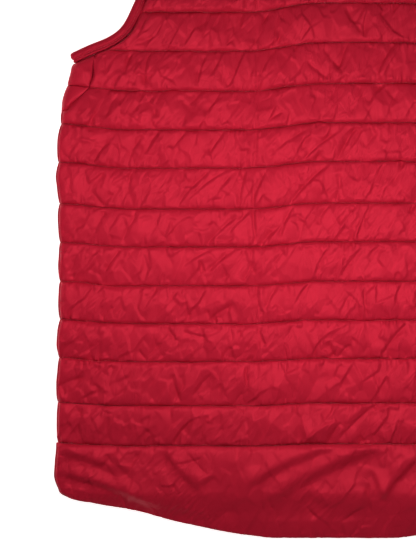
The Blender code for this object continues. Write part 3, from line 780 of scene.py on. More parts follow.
class Shader:
    """Node tree of one material, with the object's own coordinates in metres."""

    def __init__(self, name, colour, roughness, specular=0.5, sheen=0.0, metallic=0.0):
        self.material = bpy.data.materials.new(name)
        self.material.use_nodes = True
        self.tree = self.material.node_tree
        self.shader = self.tree.nodes["Principled BSDF"]
        self.set(self.shader, "Base Color", (*colour, 1.0))
        self.set(self.shader, "Roughness", roughness)
        self.set(self.shader, "Metallic", metallic)
        self.set(self.shader, "Specular IOR Level", specular)
        self.set(self.shader, "Sheen Weight", sheen)
        self.set(self.shader, "Sheen Roughness", 0.35)
        self.place = self.node("ShaderNodeTexCoord").outputs["Object"]
        self.normal = None

    def node(self, kind, **settings):
        node = self.tree.nodes.new(kind)
        for name, value in settings.items():
            setattr(node, name, value)
        return node

    @staticmethod
    def set(node, socket, value):
        node.inputs[socket].default_value = value

    def link(self, source, node, socket):
        self.tree.links.new(source, node.inputs[socket])

    def turned(self, turn, stretch=1.0):
        """The object's coordinates, with X turned to `turn` degrees and stretched."""
        mapping = self.node("ShaderNodeMapping", vector_type="TEXTURE")
        self.link(self.place, mapping, "Vector")
        mapping.inputs["Rotation"].default_value[2] = math.radians(turn)
        mapping.inputs["Scale"].default_value[0] = stretch
        return mapping.outputs["Vector"]

    def texture(self, kind, place, scale, **settings):
        texture = self.node(kind, **settings)
        self.link(place, texture, "Vector")
        self.set(texture, "Scale", scale)
        return texture

    def noise(self, scale, detail=2.0):
        noise = self.texture("ShaderNodeTexNoise", self.place, scale)
        self.set(noise, "Detail", detail)
        return noise.outputs["Fac"]

    def thin_creases(self, scale, patches, place):
        """Height that falls along the edges of straight-sided cells, in patches."""
        cells = self.texture("ShaderNodeTexVoronoi", place, scale, feature="DISTANCE_TO_EDGE")
        line = self.span(cells.outputs["Distance"], 0.0, 0.07, 0.0, 1.0)
        smooth = self.span(self.noise(patches), 0.50, 0.60, 1.0, 0.0)
        return self.higher(line, smooth)

    def span(self, amount, low, high, start, end):
        """Map low..high to start..end, held past its ends."""
        node = self.node("ShaderNodeMapRange")
        self.link(amount, node, "Value")
        for socket, value in (("From Min", low), ("From Max", high), ("To Min", start),
                              ("To Max", end)):
            self.set(node, socket, value)
        return node.outputs["Result"]

    def weave(self, thread, turn=0.0):
        """Crossing threads: two sets of ridges, `thread` metres apart."""
        waves = [self.texture("ShaderNodeTexWave", self.turned(turn), WAVE_PERIOD / thread,
                              bands_direction=direction) for direction in ("X", "Y")]
        return self.higher(*(wave.outputs["Fac"] for wave in waves))

    def higher(self, first, second):
        """The greater of two heights."""
        node = self.node("ShaderNodeMath", operation="MAXIMUM")
        for height, socket in zip((first, second), node.inputs):
            self.tree.links.new(height, socket)
        return node.outputs["Value"]

    def bump(self, height, strength, distance):
        bump = self.node("ShaderNodeBump")
        self.link(height, bump, "Height")
        self.set(bump, "Strength", strength)
        self.set(bump, "Distance", distance)
        if self.normal:
            self.link(self.normal, bump, "Normal")
        self.normal = bump.outputs["Normal"]
        self.link(self.normal, self.shader, "Normal")

    def vary_colour(self, amount, dark, light):
        """Base colour between two close colours."""
        mix = self.node("ShaderNodeMix", data_type="RGBA")
        self.link(amount, mix, "Factor")
        mix.inputs["A"].default_value = (*dark, 1.0)
        mix.inputs["B"].default_value = (*light, 1.0)
        self.link(mix.outputs["Result"], self.shader, "Base Color")

    def vary_roughness(self, amount, low, high):
        self.link(self.span(amount, 0.0, 1.0, low, high), self.shader, "Roughness")


def scaled(colour, factor):
    return tuple(channel * factor for channel in colour)


def nylon(name, colour, crumple):
    """Satin nylon: fine weave, faint mottling, and the small creases between the folds."""
    cloth = Shader(name, colour, 0.5, specular=0.04, metallic=0.16)
    mottling = cloth.noise(38.0, 4.0)
    cloth.vary_colour(mottling, scaled(colour, 0.92), scaled(colour, 1.07))
    cloth.vary_roughness(cloth.noise(140.0), 0.42, 0.52)
    cloth.bump(cloth.thin_creases(110.0, 24.0, cloth.turned(60.0, 4.0)), crumple, 0.0007)
    cloth.bump(cloth.thin_creases(160.0, 33.0, cloth.turned(82.0, 3.0)), crumple, 0.0005)
    cloth.bump(cloth.noise(260.0, 3.0), 0.22, 0.0004)
    cloth.bump(cloth.weave(0.0005), 0.10, 0.0001)
    return cloth.material


def thread_material():
    thread = Shader("thread", SHELL_RED, 0.6, sheen=0.2)
    thread.bump(thread.noise(1800.0, 2.0), 0.4, 0.0001)
    thread.vary_colour(thread.noise(400.0), scaled(SHELL_RED, 0.85), scaled(SHELL_RED, 1.05))
    return thread.material


def tape_material():
    tape = Shader("zip_tape_weave", (0.36, 0.012, 0.026), 0.85, sheen=0.25)
    ribs = tape.weave(0.0007, 45.0)
    tape.vary_colour(ribs, (0.27, 0.009, 0.019), (0.38, 0.013, 0.028))
    tape.bump(ribs, 0.7, 0.0002)
    return tape.material


def plastic_material():
    plastic = Shader("moulded_teeth", (0.33, 0.011, 0.022), 0.35)
    plastic.vary_roughness(plastic.noise(700.0, 3.0), 0.28, 0.46)
    plastic.vary_colour(plastic.noise(160.0), (0.29, 0.010, 0.019), (0.36, 0.012, 0.025))
    plastic.bump(plastic.noise(2200.0, 2.0), 0.15, 0.00005)
    return plastic.material


def enamel_material():
    enamel = Shader("enamelled_metal", (0.33, 0.012, 0.024), 0.3)
    wear = enamel.noise(420.0, 4.0)
    enamel.vary_colour(wear, (0.27, 0.010, 0.020), (0.37, 0.014, 0.028))
    enamel.vary_roughness(wear, 0.22, 0.42)
    enamel.bump(enamel.noise(900.0, 2.0), 0.12, 0.0001)
    return enamel.material


SHELL = nylon("satin_nylon", SHELL_RED, 0.34)
BINDING = nylon("binding_nylon", scaled(SHELL_RED, 0.84), 0.4)
THREAD = thread_material()
TAPE = tape_material()
PLASTIC = plastic_material()
ENAMEL = enamel_material()


# ---------------------------------------------------------------- meshes

LEVEL_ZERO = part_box("back_panel")[0].y / MM


def to_metres(points):
    """Grid points (x, level, height) in millimetres to the frame, in metres."""
    points = np.asarray(points, float).reshape(-1, 3).copy()
    points[:, 1] += LEVEL_ZERO
    return points * MM


def sharpen(mesh, sharp_points):
    """Mark as sharp every edge whose two ends are in the given points."""
    marked = np.zeros(len(mesh.vertices), bool)
    marked[sharp_points] = True
    ends = np.empty(2 * len(mesh.edges), np.int32)
    mesh.edges.foreach_get("vertices", ends)
    sharp = marked[ends.reshape(-1, 2)].all(axis=1)
    attribute = mesh.attributes.new("sharp_edge", "BOOLEAN", "EDGE")
    attribute.data.foreach_set("value", sharp)


def new_piece(name, points, faces, material, smooth_angle=None):
    mesh = bpy.data.meshes.new(name)
    mesh.from_pydata(to_metres(points).tolist(), [], faces)
    mesh.validate()
    part = bmesh.new()
    part.from_mesh(mesh)
    bmesh.ops.recalc_face_normals(part, faces=part.faces)
    part.to_mesh(mesh)
    part.free()
    mesh.shade_smooth()
    if smooth_angle:
        mesh.set_sharp_from_angle(angle=math.radians(smooth_angle))
    mesh.materials.append(material)
    piece = bpy.data.objects.new(name, mesh)
    bpy.context.scene.collection.objects.link(piece)
    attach(piece, BODY)
    return piece


def grid_faces(index):
    """Four-sided faces of a grid of point numbers."""
    corners = (index[:-1, :-1], index[:-1, 1:], index[1:, 1:], index[1:, :-1])
    return np.stack(corners, -1).reshape(-1, 4).tolist()


def closed_panel(name, skin, lining, stitched, every, material):
    """Fine outer skin, creased at its stitched rows, closed by a plain lining.

    The lining keeps every n-th column.
    """
    rows, columns = skin.shape[:2]
    index = np.arange(rows * columns).reshape(rows, columns)
    kept = np.arange(every, columns - 1, every)
    inner = np.zeros((rows - 2, len(kept) + 2), int)
    inner[:, 0], inner[:, -1] = index[1:-1, 0], index[1:-1, -1]
    count = (rows - 2) * len(kept)
    inner[:, 1:-1] = rows * columns + np.arange(count).reshape(rows - 2, len(kept))
    faces = grid_faces(index) + [face[::-1] for face in grid_faces(inner)]
    stops = [0] + kept.tolist() + [columns - 1]
    for row, lining_row, turn in ((0, 0, 1), (rows - 1, rows - 3, -1)):
        for at, (start, end) in enumerate(zip(stops, stops[1:])):
            rim = index[row, start:end + 1].tolist()
            faces.append((rim[::-1] + inner[lining_row, at:at + 2].tolist())[::turn])
    points = np.vstack([skin.reshape(-1, 3), lining[1:-1, kept].reshape(-1, 3)])
    piece = new_piece(name, points, faces, material)
    sharpen(piece.data, index[stitched].ravel())
    return piece


def wall(name, outer, inner, material, ring=False):
    """Closed wall between an outer and an inner skin, whose last row meets the first in a ring."""
    outer, inner = np.array(outer), np.array(inner)
    rows, columns = outer.shape[:2]
    index = np.arange(rows * columns).reshape(rows, columns)
    if ring:
        index = np.vstack([index, index[:1]])
    shift = rows * columns
    faces = grid_faces(index) + [face[::-1] for face in grid_faces(index + shift)]
    rims = [(index[:, 0], 1), (index[:, -1], -1)]
    if not ring:
        rims += [(index[0], -1), (index[-1], 1)]
    for rim, turn in rims:
        for a, b in zip(rim[:-1].tolist(), rim[1:].tolist()):
            faces.append([a, b, b + shift, a + shift][::turn])
    points = np.vstack([outer.reshape(-1, 3), inner.reshape(-1, 3)])
    return new_piece(name, points, faces, material)


STITCH_LENGTH = 2.3
STITCH_PITCH = 3.3
STITCH_RADIUS = 0.42
BACK_STITCH_LIFT = 2.2
FRONT_STITCH_LIFT = -0.2
COLLAR_STITCH_LIFT = 0.2
BINDING_STITCH_LIFT = 0.15


def stitch_shape():
    """Small lozenge of thread along X: two tips and three rings of four points."""
    points = [(-0.5, 0.0, 0.0)]
    for along, reach in ((-0.36, 0.7), (0.0, 1.0), (0.36, 0.7)):
        for turn in range(4):
            angle = math.pi * (turn / 2 + 0.25)
            points.append((along, reach * math.cos(angle), reach * math.sin(angle)))
    points.append((0.5, 0.0, 0.0))
    faces = []
    for turn in range(4):
        after = (turn + 1) % 4
        faces.append((0, 1 + after, 1 + turn))
        faces.append((13, 9 + turn, 9 + after))
        for ring in (1, 5):
            faces.append((ring + turn, ring + after, ring + 4 + after, ring + 4 + turn))
    return np.array(points), np.array(faces, dtype=object)


def stitches(name, paths, lift):
    """Row of stitches along each path of points in millimetres, joined as one piece."""
    shape, faces = stitch_shape()
    points, all_faces = [], []
    for path in paths:
        path = np.array(path, float)
        reach = np.concatenate([[0.0], np.cumsum(np.linalg.norm(np.diff(path, axis=0), axis=1))])
        for at in np.arange(2.0, reach[-1] - 2.0, STITCH_PITCH):
            ends = [[np.interp(at + side, reach, path[:, axis]) for axis in range(3)]
                    for side in (-0.5 * STITCH_LENGTH, 0.5 * STITCH_LENGTH)]
            start, end = np.array(ends)
            along = (end - start) / np.linalg.norm(end - start)
            side = np.cross((0.0, 0.0, 1.0), along)
            side /= np.linalg.norm(side)
            frame_rows = np.array([along * STITCH_LENGTH, side * STITCH_RADIUS,
                                   np.cross(along, side) * STITCH_RADIUS])
            middle = (start + end) / 2 + (0.0, 0.0, lift)
            shift = len(points) * len(shape)
            points.append(shape @ frame_rows + middle)
            all_faces += [[int(corner) + shift for corner in face] for face in faces]
    return new_piece(name, np.vstack(points), all_faces, THREAD)


# ---------------------------------------------------------------- back

BACK_FOLD_STEPS = 9
BACK_HALF_STEPS = 218
BACK_SPLITS = (3, 7, 11)
BACK_LINING_EVERY = 22
BACK_ROOM = 0.004
MOST_ROOM = 0.12

# Seed of the crumpling that shows, on the back and on the lip of the fronts at the side seam
SHOWN_CRUMPLE = 71


def half_distances(edge, fold_steps, flat_steps):
    """Distances from a row's edge: fine round the fold, then even to the centre line."""
    turn = np.linspace(0.0, math.pi / 2, fold_steps + 1)
    fold = np.broadcast_to(EDGE_ROUND * (1.0 - np.cos(turn)), (len(edge), fold_steps + 1))
    flat = EDGE_ROUND + (edge - EDGE_ROUND) * np.linspace(0.0, 1.0, flat_steps + 1)[1:]
    return np.hstack([fold, flat])


def looseness(x, level, seed, room):
    """Extra cloth, in patches: some stretches are smooth and others crowded."""
    patches = value_noise(x / 34.0, level / 21.0, seed)
    patches += 0.5 * value_noise(x / 90.0, level / 70.0, seed + 1)
    return np.clip(room * (1.0 + 1.3 * patches), 0.0, MOST_ROOM)


def lean_of_folds(x, level, seed):
    """Shear of the cut against its place, which makes the folds lean one way more often."""
    return 0.035 + 0.045 * value_noise(x / 48.0, level / 27.0, seed)


def seam_wander(rows, x, level, seed):
    """Unevenness of hand-guided stitched lines in millimetres; the cloth between follows less."""
    place = level / 18.0
    wander = 0.5 * value_noise(x / 16.0, place, seed) + 0.3 * value_noise(x / 5.0, place, seed + 1)
    return np.where(rows.stitched[:, None], 1.0, 0.35) * wander


def panel_edge(rows):
    """Outer edge of each row, drawn in by the stitching and a little uneven, and its level."""
    edge = rows.edge()
    level = rows.level(edge)
    edge = edge - rows.pinch(level)
    return edge + 0.5 * value_noise(level / 13.0, 0.0 * level, 41), level


def sewn_down(free, rows):
    """Keep a panel's stitched lines and edges where they are."""
    free[rows.stitched] = 0.0
    free[[0, -1]] = 0.0
    free[:, [0, -1]] = 0.0
    return free


def back_relief(rows, x, level, distance):
    """Creases, facets and puckers of the back, and the folds of its hem band."""
    creases = list(CREASES) + scattered_creases(3, 64, (92.0, 268.0), (100.0, 480.0))
    creases += scattered_creases(4, 46, (-175.0, 175.0), (545.0, 730.0))
    crumpled = crumple(x, level, SHOWN_CRUMPLE)
    channels = crease_relief(x, level, creases) + fold_line_relief(x, level) + crumpled
    hem_band = crease_relief(x, level, HEM_FOLDS, soft=True)
    hem_band += 1.2 * crease_relief(x, level, HEM_CREASES) + 0.6 * crumpled
    relief = np.where(rows.band < 0, hem_band, channels) * rows.seam_share()
    return (relief + puckers(rows, x, 58)) * smoothstep(distance / 7.0)


def back_heights(rows, x, distance, base, inset, drawn):
    """Neat height of the back: round at the side folds, drawn down to the sewn edges."""
    channels = loft(rows, x, 50, QUILT_LINE, CROWN)
    thick = np.where(rows.band < 0, hem_band_thickness(rows, x), channels)
    share = np.clip(distance / EDGE_ROUND, 0.0, 1.0)
    fold = thick * np.sqrt(1.0 - (1.0 - share) ** 2)
    side_seam = np.minimum(SIDE_SEAM, thick) * smoothstep(inset / EDGE_ROUND)
    side_seam = np.maximum(side_seam, SEAM)
    seamed = side_seam + (thick - side_seam) * smoothstep(share * 2.2)
    return base + fold * (1.0 - drawn) + seamed * drawn


def back():
    rows = Rows(70, 29, back_hem_level, back_top_level, 1.0)
    edge, level_at_edge = panel_edge(rows)
    inset = seam_inset(level_at_edge)
    drawn = np.where(level_at_edge > CORNER_LEVEL, 1.0, smoothstep(inset / EDGE_ROUND))
    edge = edge - inset
    distance = half_distances(edge, BACK_FOLD_STEPS, BACK_HALF_STEPS)
    x = np.hstack([distance - edge, (edge - distance)[:, -2::-1]])
    distance = np.hstack([distance, distance[:, -2::-1]])
    level = rows.level(x)
    level = level + seam_wander(rows, x, level, 43)
    fall = smoothstep((front_hem_level(x) - 0.5 - level) / TAIL_FALL)
    base = BACK_BASE * (1.0 - fall)
    neat = back_heights(rows, x, distance, base, inset, drawn)
    ripple = 0.1 * value_noise(x / 3.4, level / 4.6, 47) * rows.seam_share()
    target = neat + ripple * smoothstep(distance / 9.0)

    room = looseness(x, level, 61, BACK_ROOM) * smoothstep(distance / 12.0)
    room = np.where(rows.band < 0, 0.5 * room, room)
    settled = settle((x, level, neat), target, sewn_down(np.ones_like(x), rows), room,
                     lean_of_folds(x, level, 64), PUSH, base + 0.6 * SEAM, rows.reach())
    relief = back_relief(rows, x, level, distance)
    settled[2] = np.maximum(settled[2] + relief, base + 0.5 * SEAM)
    skin = np.stack(settled, -1)
    lining = np.stack([x, level, base], -1)
    starts = np.flatnonzero(rows.stitched)
    cuts = [0] + [starts[band] for band in BACK_SPLITS] + [len(x) - 1]
    for part, first, last in zip(("hem", "waist", "chest", "top"), cuts, cuts[1:]):
        span = slice(first, last + 1)
        piece = closed_panel(f"quilted_back_{part}", skin[span], lining[span],
                             rows.stitched[span], BACK_LINING_EVERY, SHELL)
        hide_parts("back_panel")
    lines = [skin[row, 4:-4] for row in starts]
    stitches("quilting_stitches_back", lines, BACK_STITCH_LIFT)


# ---------------------------------------------------------------- fronts

QUARTER = 0.5 * math.pi * EDGE_ROUND
FRONT_FOLD_STEPS = 20
FRONT_FLAT_STEPS = 78
FRONT_HEM_LIFT = 2.0
FRONT_LINING_EVERY = 9
FRONT_ROOM = 0.022


def folded_edge(edge, inset, thick, underside):
    """A front's outline round the side fold, from the side seam down to the surface."""
    past_fold = inset >= EDGE_ROUND
    start = inset - EDGE_ROUND + QUARTER if past_fold else inset * QUARTER / EDGE_ROUND
    points = []
    for q in np.linspace(start, -QUARTER, FRONT_FOLD_STEPS + 1):
        drawn = SIDE_SEAM + (thick - SIDE_SEAM) * float(smoothstep((start - q) / 4.0))
        if q >= QUARTER:
            points.append((edge - EDGE_ROUND - q + QUARTER, BACK_BASE + drawn))
            continue
        reach = thick if q > 0 else MIDDLE - underside
        height = MIDDLE + reach * math.sin(q / EDGE_ROUND)
        if inset > 0.0 and q > 0:
            height = min(height, BACK_BASE + drawn)
        points.append((edge - EDGE_ROUND * (1.0 - math.cos(q / EDGE_ROUND)), height))
    if inset > 0.0:
        points[0] = (edge - inset + GAP, points[0][1])
    else:
        points[0] = (edge, FRONT_HEIGHT)
    return points


def bound_edge(edge, underside):
    """A front's outline at the armhole: an upright edge, then a round lower corner."""
    points = [(edge, height) for height in np.linspace(FRONT_HEIGHT, FRONT_HEIGHT - SEAM, 4)]
    for share in np.linspace(0.0, 1.0, FRONT_FOLD_STEPS - 2)[1:]:
        height = (FRONT_HEIGHT - SEAM) * (1.0 - float(smoothstep(share)))
        points.append((edge - EDGE_ROUND * share, max(underside, height)))
    return points


def front_outlines(rows, edge, level_at_edge, inset, inner):
    """Half-widths and heights of a front's rows, from the side to the zip or the neckline."""
    v, band = rows.v[:, 0], rows.band[:, 0]
    drawn_up = SEAM * (1.0 - smoothstep(np.minimum(v, 1.0 - v) * CHANNEL_PITCH / 5.0))
    turned = FRONT_HEM_LIFT * (1.0 - smoothstep(v * FRONT_HEM_BAND / 3.0))
    underside = np.where(band < 0, turned + SEAM * smoothstep((v - 0.88) / 0.12), drawn_up)
    at_fold = np.full_like(rows.v, 260.0)
    full = loft(rows, at_fold, 50, QUILT_LINE, CROWN)
    full = np.where(rows.band < 0, hem_band_thickness(rows, at_fold), full)[:, 0]
    outlines = []
    for row, below in enumerate(underside):
        if level_at_edge[row] > CORNER_LEVEL and inset[row] < 1.0:
            points = bound_edge(edge[row], below)
        else:
            points = folded_edge(edge[row], inset[row], full[row], below)
        run = points[-1][0] - inner[row]
        points += [(inner[row] + run * share, below)
                   for share in np.linspace(1.0, 0.0, FRONT_FLAT_STEPS + 1)[1:]]
        outlines.append(points)
    return np.moveaxis(np.array(outlines), -1, 0)


def front(name, node, side, seed):
    rows = Rows(24, 14, front_hem_level, shoulder_level, 0.0)
    edge, level_at_edge = (part[:, 0] for part in panel_edge(rows))
    inset, inner = seam_inset(level_at_edge), rows.inner_edge()[:, 0]
    x, neat = front_outlines(rows, edge, level_at_edge, inset, inner)
    level = rows.level(x)
    edge, inset, inner = edge[:, None], inset[:, None], inner[:, None]
    lip = smoothstep((x - (edge - inset)) / 4.0) * smoothstep((edge - x) / 7.0)
    lip = np.where(neat > BACK_BASE + 1.0, lip, 0.0) * rows.seam_share()
    shown = crease_relief(side * x, level, CREASES) + crumple(side * x, level, SHOWN_CRUMPLE)
    neat = neat + lip * shown
    flat = smoothstep((edge - x - 9.0) / 12.0) * smoothstep((x - inner) / 8.0)
    flat[:, :FRONT_FOLD_STEPS + 1] = 0.0
    level = level + seam_wander(rows, x, level, seed) * flat
    creases = scattered_creases(seed, 90, (30.0, 262.0), (60.0, 690.0))
    relief = np.abs(crease_relief(x, level, creases) + crumple(x, level, seed + 5))
    ripple = np.abs(value_noise(x / 4.2, level / 5.6, seed + 1))
    relief = (0.8 * relief + 0.3 * ripple) * rows.seam_share() * flat
    target = np.clip(neat + relief, 0.0, None)
    free = sewn_down(np.where(flat > 0.0, 1.0, 0.0), rows)
    room = looseness(x, level, seed + 2, FRONT_ROOM) * flat
    lean = lean_of_folds(x, level, seed + 3)
    settled = settle((x, level, neat), target, free, room, lean, -PUSH, FRONT_HEIGHT - 2.0,
                     rows.reach())
    skin = np.where(flat[:, :, None] > 0.0, np.stack(settled, -1), np.stack([x, level, neat], -1))
    lining_x = np.minimum(x, edge - EDGE_ROUND)
    lining = np.stack([lining_x, rows.level(lining_x), np.full_like(x, FRONT_HEIGHT)], -1)
    mirror = np.array((side, 1.0, 1.0))
    piece = closed_panel(name, skin * mirror, lining * mirror, rows.stitched,
                         FRONT_LINING_EVERY, SHELL)
    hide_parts(node)
    lines = [skin[row, FRONT_FOLD_STEPS:-2] * mirror for row in np.flatnonzero(rows.stitched)]
    stitches(name + "_stitches", lines, FRONT_STITCH_LIFT)


# ---------------------------------------------------------------- collar

COLLAR_GAP = 1.3 * GAP
COLLAR_STEP = 1.2 * GAP
COLLAR_ROOM = 0.03


def collar_stations():
    """(x, lower level, angle round the fold or nan, on the back) from zip to zip."""
    turn = NECK_HALF_WIDTH - COLLAR_GAP - COLLAR_ROUND
    shrink = 1.0 - COLLAR_GAP / NECK_HALF_WIDTH
    stations = []
    for x in np.linspace(PANEL_EDGE_AT_ZIP, turn - 1.0, 34):
        level = NECK_LEVEL - (NECK_LEVEL - front_neck_level(x / shrink)) * shrink
        stations.append((x, float(level), math.nan, False))
    for degrees in range(-90, 91, 15):
        angle = math.radians(degrees)
        x = turn + COLLAR_ROUND * math.cos(angle)
        inside = min(x / shrink, NECK_HALF_WIDTH)
        low = NECK_LEVEL - (NECK_LEVEL - float(front_neck_level(inside))) * shrink
        if degrees >= 0:
            low = float(back_neck_level(x)) + COLLAR_STEP
        stations.append((x, low, angle, degrees > 0))
    for x in np.linspace(turn - 1.0, 0.0, 40):
        stations.append((x, float(back_neck_level(x)) + COLLAR_STEP, math.nan, True))
    mirrored = [(-x, level, angle, on_back)
                for x, level, angle, on_back in reversed(stations[:-1])]
    return stations + mirrored


def collar():
    """Stand collar pressed flat: two quilted channels all round the neck."""
    stations = collar_stations()
    turn = NECK_HALF_WIDTH - COLLAR_GAP - COLLAR_ROUND
    fold_level = float(back_neck_level(turn)) + COLLAR_STEP
    half = np.concatenate([[0.0, 0.02], np.linspace(0.08, 0.92, 10), [0.98]])
    shares = np.concatenate([half / 2, 0.5 + half / 2, [1.0]])
    outer, inner = [], []
    for v in shares:
        bulge = 4.0 * ((2.0 * v) % 1.0) * (1.0 - (2.0 * v) % 1.0)
        rise = SEAM + (COLLAR_CROWN - SEAM) * bulge ** 0.45
        dip = 3.0 * (1.0 - min(1.0, (rise - SEAM) / 4.0))
        up = v * COLLAR_HEIGHT
        outer.append([])
        inner.append([])
        for x, level, angle, on_back in stations:
            if not math.isnan(angle):
                reach = rise if angle > 0 else MIDDLE - dip
                outer[-1].append((x, level + up, MIDDLE + reach * math.sin(angle)))
                inner[-1].append((math.copysign(turn, x), fold_level + up, MIDDLE))
            elif on_back:
                outer[-1].append((x, level + up, BACK_BASE + rise))
                inner[-1].append((x, level + up, BACK_BASE))
            else:
                outer[-1].append((x, level + up, dip))
                inner[-1].append((x, level + up, FRONT_HEIGHT))
    outer, inner = np.array(outer), np.array(inner)
    x, level, neat = (outer[:, :, axis] for axis in range(3))
    on_back = np.array([station[3] and math.isnan(station[2]) for station in stations])
    off_seam = smoothstep(np.minimum.reduce([shares, np.abs(shares - 0.5), 1.0 - shares]) * 20.0)
    flat = on_back * off_seam[:, None]
    creases = scattered_creases(8, 16, (-70.0, 70.0), (740.0, 800.0), False)
    relief = crease_relief(x, level, creases) + 0.25 * value_noise(x / 3.2, level / 4.0, 81)
    room = looseness(x, level, 82, COLLAR_ROOM)
    settled = settle((x, level, neat), neat + relief * flat, flat, room,
                     lean_of_folds(x, level, 85), PUSH, BACK_BASE + 1.0, 10.0)
    skin = np.where(flat[:, :, None] > 0, np.stack(settled, -1), outer)
    piece = wall("quilted_collar", skin, inner, SHELL)
    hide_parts("collar")
    seam = np.flatnonzero(shares == 0.5)[0]
    stitches("collar_stitches", [skin[seam, on_back]], COLLAR_STITCH_LIFT)


# ---------------------------------------------------------------- armhole bindings

# (distance from the outer edge, share of the thickness)
BINDING_SECTION = ((0.0, 0.36), (0.4, 0.60), (1.2, 0.80), (2.4, 0.91), (3.8, 0.97), (5.2, 0.95),
                   (6.4, 0.84), (7.2, 0.60), (8.0, 0.80), (9.3, 0.84), (10.3, 0.62),
                   (BINDING_WIDTH + 0.2, 0.38))
BINDING_STITCH = 7.2
BINDING_END = 4.0
BINDING_STEPS = 14


def armhole_binding(name, node, side, seed):
    """Strip folded over the armhole's edge, topstitched near its inner side."""
    path = curve_through([(row[1], row[0]) for row in ARMHOLE], BINDING_STEPS)
    normals = inward_normals(path)
    end = path[0] + BINDING_END * np.array([-normals[0, 1], normals[0, 0]])
    path, normals = np.vstack([end, path]), np.vstack([normals[0], normals])
    last = len(path) - 1
    tips = np.radians(np.arange(75, -76, -15))
    stations = [(index, 0.0, 1.0) for index in range(last)]
    stations += [(last, math.cos(angle), math.sin(angle)) for angle in tips]
    stations += [(index, 0.0, -1.0) for index in range(last - 1, 0, -1)]
    stations += [(0, -math.cos(angle), math.sin(angle)) for angle in reversed(tips)]
    outer, inner, seam = [], [], []
    for index, reach, rise in stations:
        place, normal = path[index], normals[index]
        along = np.array([normal[1], -normal[0]])
        half_gap = 0.5 * GAP * rise if reach == 0.0 else 0.0
        swell = float(value_noise(np.array(index / 6.0), np.array(rise * 3.0), seed + 1))
        outer.append([])
        inner.append([])
        for across, share in BINDING_SECTION:
            spot = place + normal * across
            if reach == 0.0:
                twist = np.array(index / 1.7 + 0.3 * across), np.array(rise * 2.0 + 0.12 * across)
                edge_share = math.sin(math.pi * min(across / BINDING_WIDTH, 1.0))
                share = share * (1.0 + 0.08 * swell)
                share += 0.06 * edge_share * float(value_noise(*twist, seed))
            tip = spot + along * reach * BINDING_TURN * share
            low = MIDDLE + half_gap
            high = low + rise * BINDING_THICKNESS * share
            outer[-1].append((side * tip[0], tip[1], high))
            inner[-1].append((side * spot[0], spot[1], low))
            if across == BINDING_STITCH and reach == 0.0:
                seam.append((side * spot[0], spot[1], high, rise))
    piece = wall(name, outer, inner, BINDING, ring=True)
    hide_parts(node)
    for layer, word in ((1.0, "upper"), (-1.0, "lower")):
        line = [point[:3] for point in seam if point[3] == layer]
        lift = BINDING_STITCH_LIFT * layer
        stitches(f"{name}_stitches_{word}", [line], lift)


# ---------------------------------------------------------------- zip

TAPE_ROWS = 220
TAPE_COLUMNS = 7
CORD_RISE = 0.25
CORD_WIDTH = 0.7
TOOTH_PITCH = 2.6

# (place along the tooth's reach, share of its half-breadth), from root to tip
TOOTH_OUTLINE = ((-0.35, 0.62), (0.0, 0.75), (0.55, 0.52), (0.8, 0.8), (1.0, 0.5))
TOOTH_HALF_BREADTH = 0.8
TOOTH_BEVEL = 0.5
TOOTH_FACE = 0.72


def zip_tape(name, node, side):
    """Woven tape beside the teeth, with a thicker cord along its inner edge."""
    low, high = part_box(node)
    near, far = sorted((abs(low.x) / MM, abs(high.x) / MM))
    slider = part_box("zip_slider")
    slider_low = slider[0].y / MM - LEVEL_ZERO - GAP
    slider_half = slider[1].x / MM + GAP
    start, end = low.y / MM - LEVEL_ZERO, high.y / MM - LEVEL_ZERO
    y = np.linspace(start, end, TAPE_ROWS)[:, None]
    edge = np.where(y < slider_low, near, slider_half)
    x = edge + (far - edge) * np.linspace(0.0, 1.0, TAPE_COLUMNS)
    y = np.broadcast_to(y, x.shape)
    thinner = CORD_RISE * (1.0 - np.exp(-((x - edge) / CORD_WIDTH) ** 2))
    outer = np.stack([side * x, y, low.z / MM + thinner], -1)
    inner = np.stack([side * x, y, high.z / MM - thinner], -1)
    piece = wall(name, outer, inner, TAPE)
    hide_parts(node)


def zip_teeth():
    """Closed moulded teeth, alternating from side to side, joined as one piece."""
    low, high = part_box("zip_chain")
    half = high.x / MM
    bottom, top = low.z / MM, high.z / MM
    start, end = low.y / MM - LEVEL_ZERO, high.y / MM - LEVEL_ZERO
    ring = list(TOOTH_OUTLINE) + [(along, -reach) for along, reach in reversed(TOOTH_OUTLINE)]
    layers = ((bottom, TOOTH_FACE), (bottom + TOOTH_BEVEL, 1.0), (top - TOOTH_BEVEL, 1.0),
              (top, TOOTH_FACE))
    sides = len(ring)
    points, faces = [], []
    for count, y in enumerate(np.arange(start + 1.0, end - 0.6, TOOTH_PITCH / 2)):
        side = 1.0 if count % 2 else -1.0
        shift = len(points)
        for height, inset in layers:
            for along, reach in ring:
                x = side * half * (0.28 + 0.72 * (along - 0.2) * (inset * 0.1 + 0.9))
                points.append((x, y + reach * inset * TOOTH_HALF_BREADTH, height))
        for layer in range(3):
            for corner in range(sides):
                a = shift + layer * sides + corner
                b = shift + layer * sides + (corner + 1) % sides
                faces.append((a, b, b + sides, a + sides))
        faces.append(tuple(range(shift, shift + sides))[::-1])
        faces.append(tuple(range(shift + 3 * sides, shift + 4 * sides)))
    piece = new_piece("zip_teeth_row", points, faces, PLASTIC, smooth_angle=35.0)
    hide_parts("zip_chain")


def carried_over():
    """Hard zip pieces that keep their own solids, with finished materials."""
    for node, material in (("zip_box", PLASTIC), ("zip_slider", ENAMEL), ("zip_pull", ENAMEL)):
        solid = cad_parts[node]
        for slot in solid.material_slots:
            slot.material = material


# ---------------------------------------------------------------- stage

FLOOR_REACH = 3.0
FLOOR_DROP = 0.0003
FLOOR_GLOW = 0.9
WORLD_LIGHT = 0.12

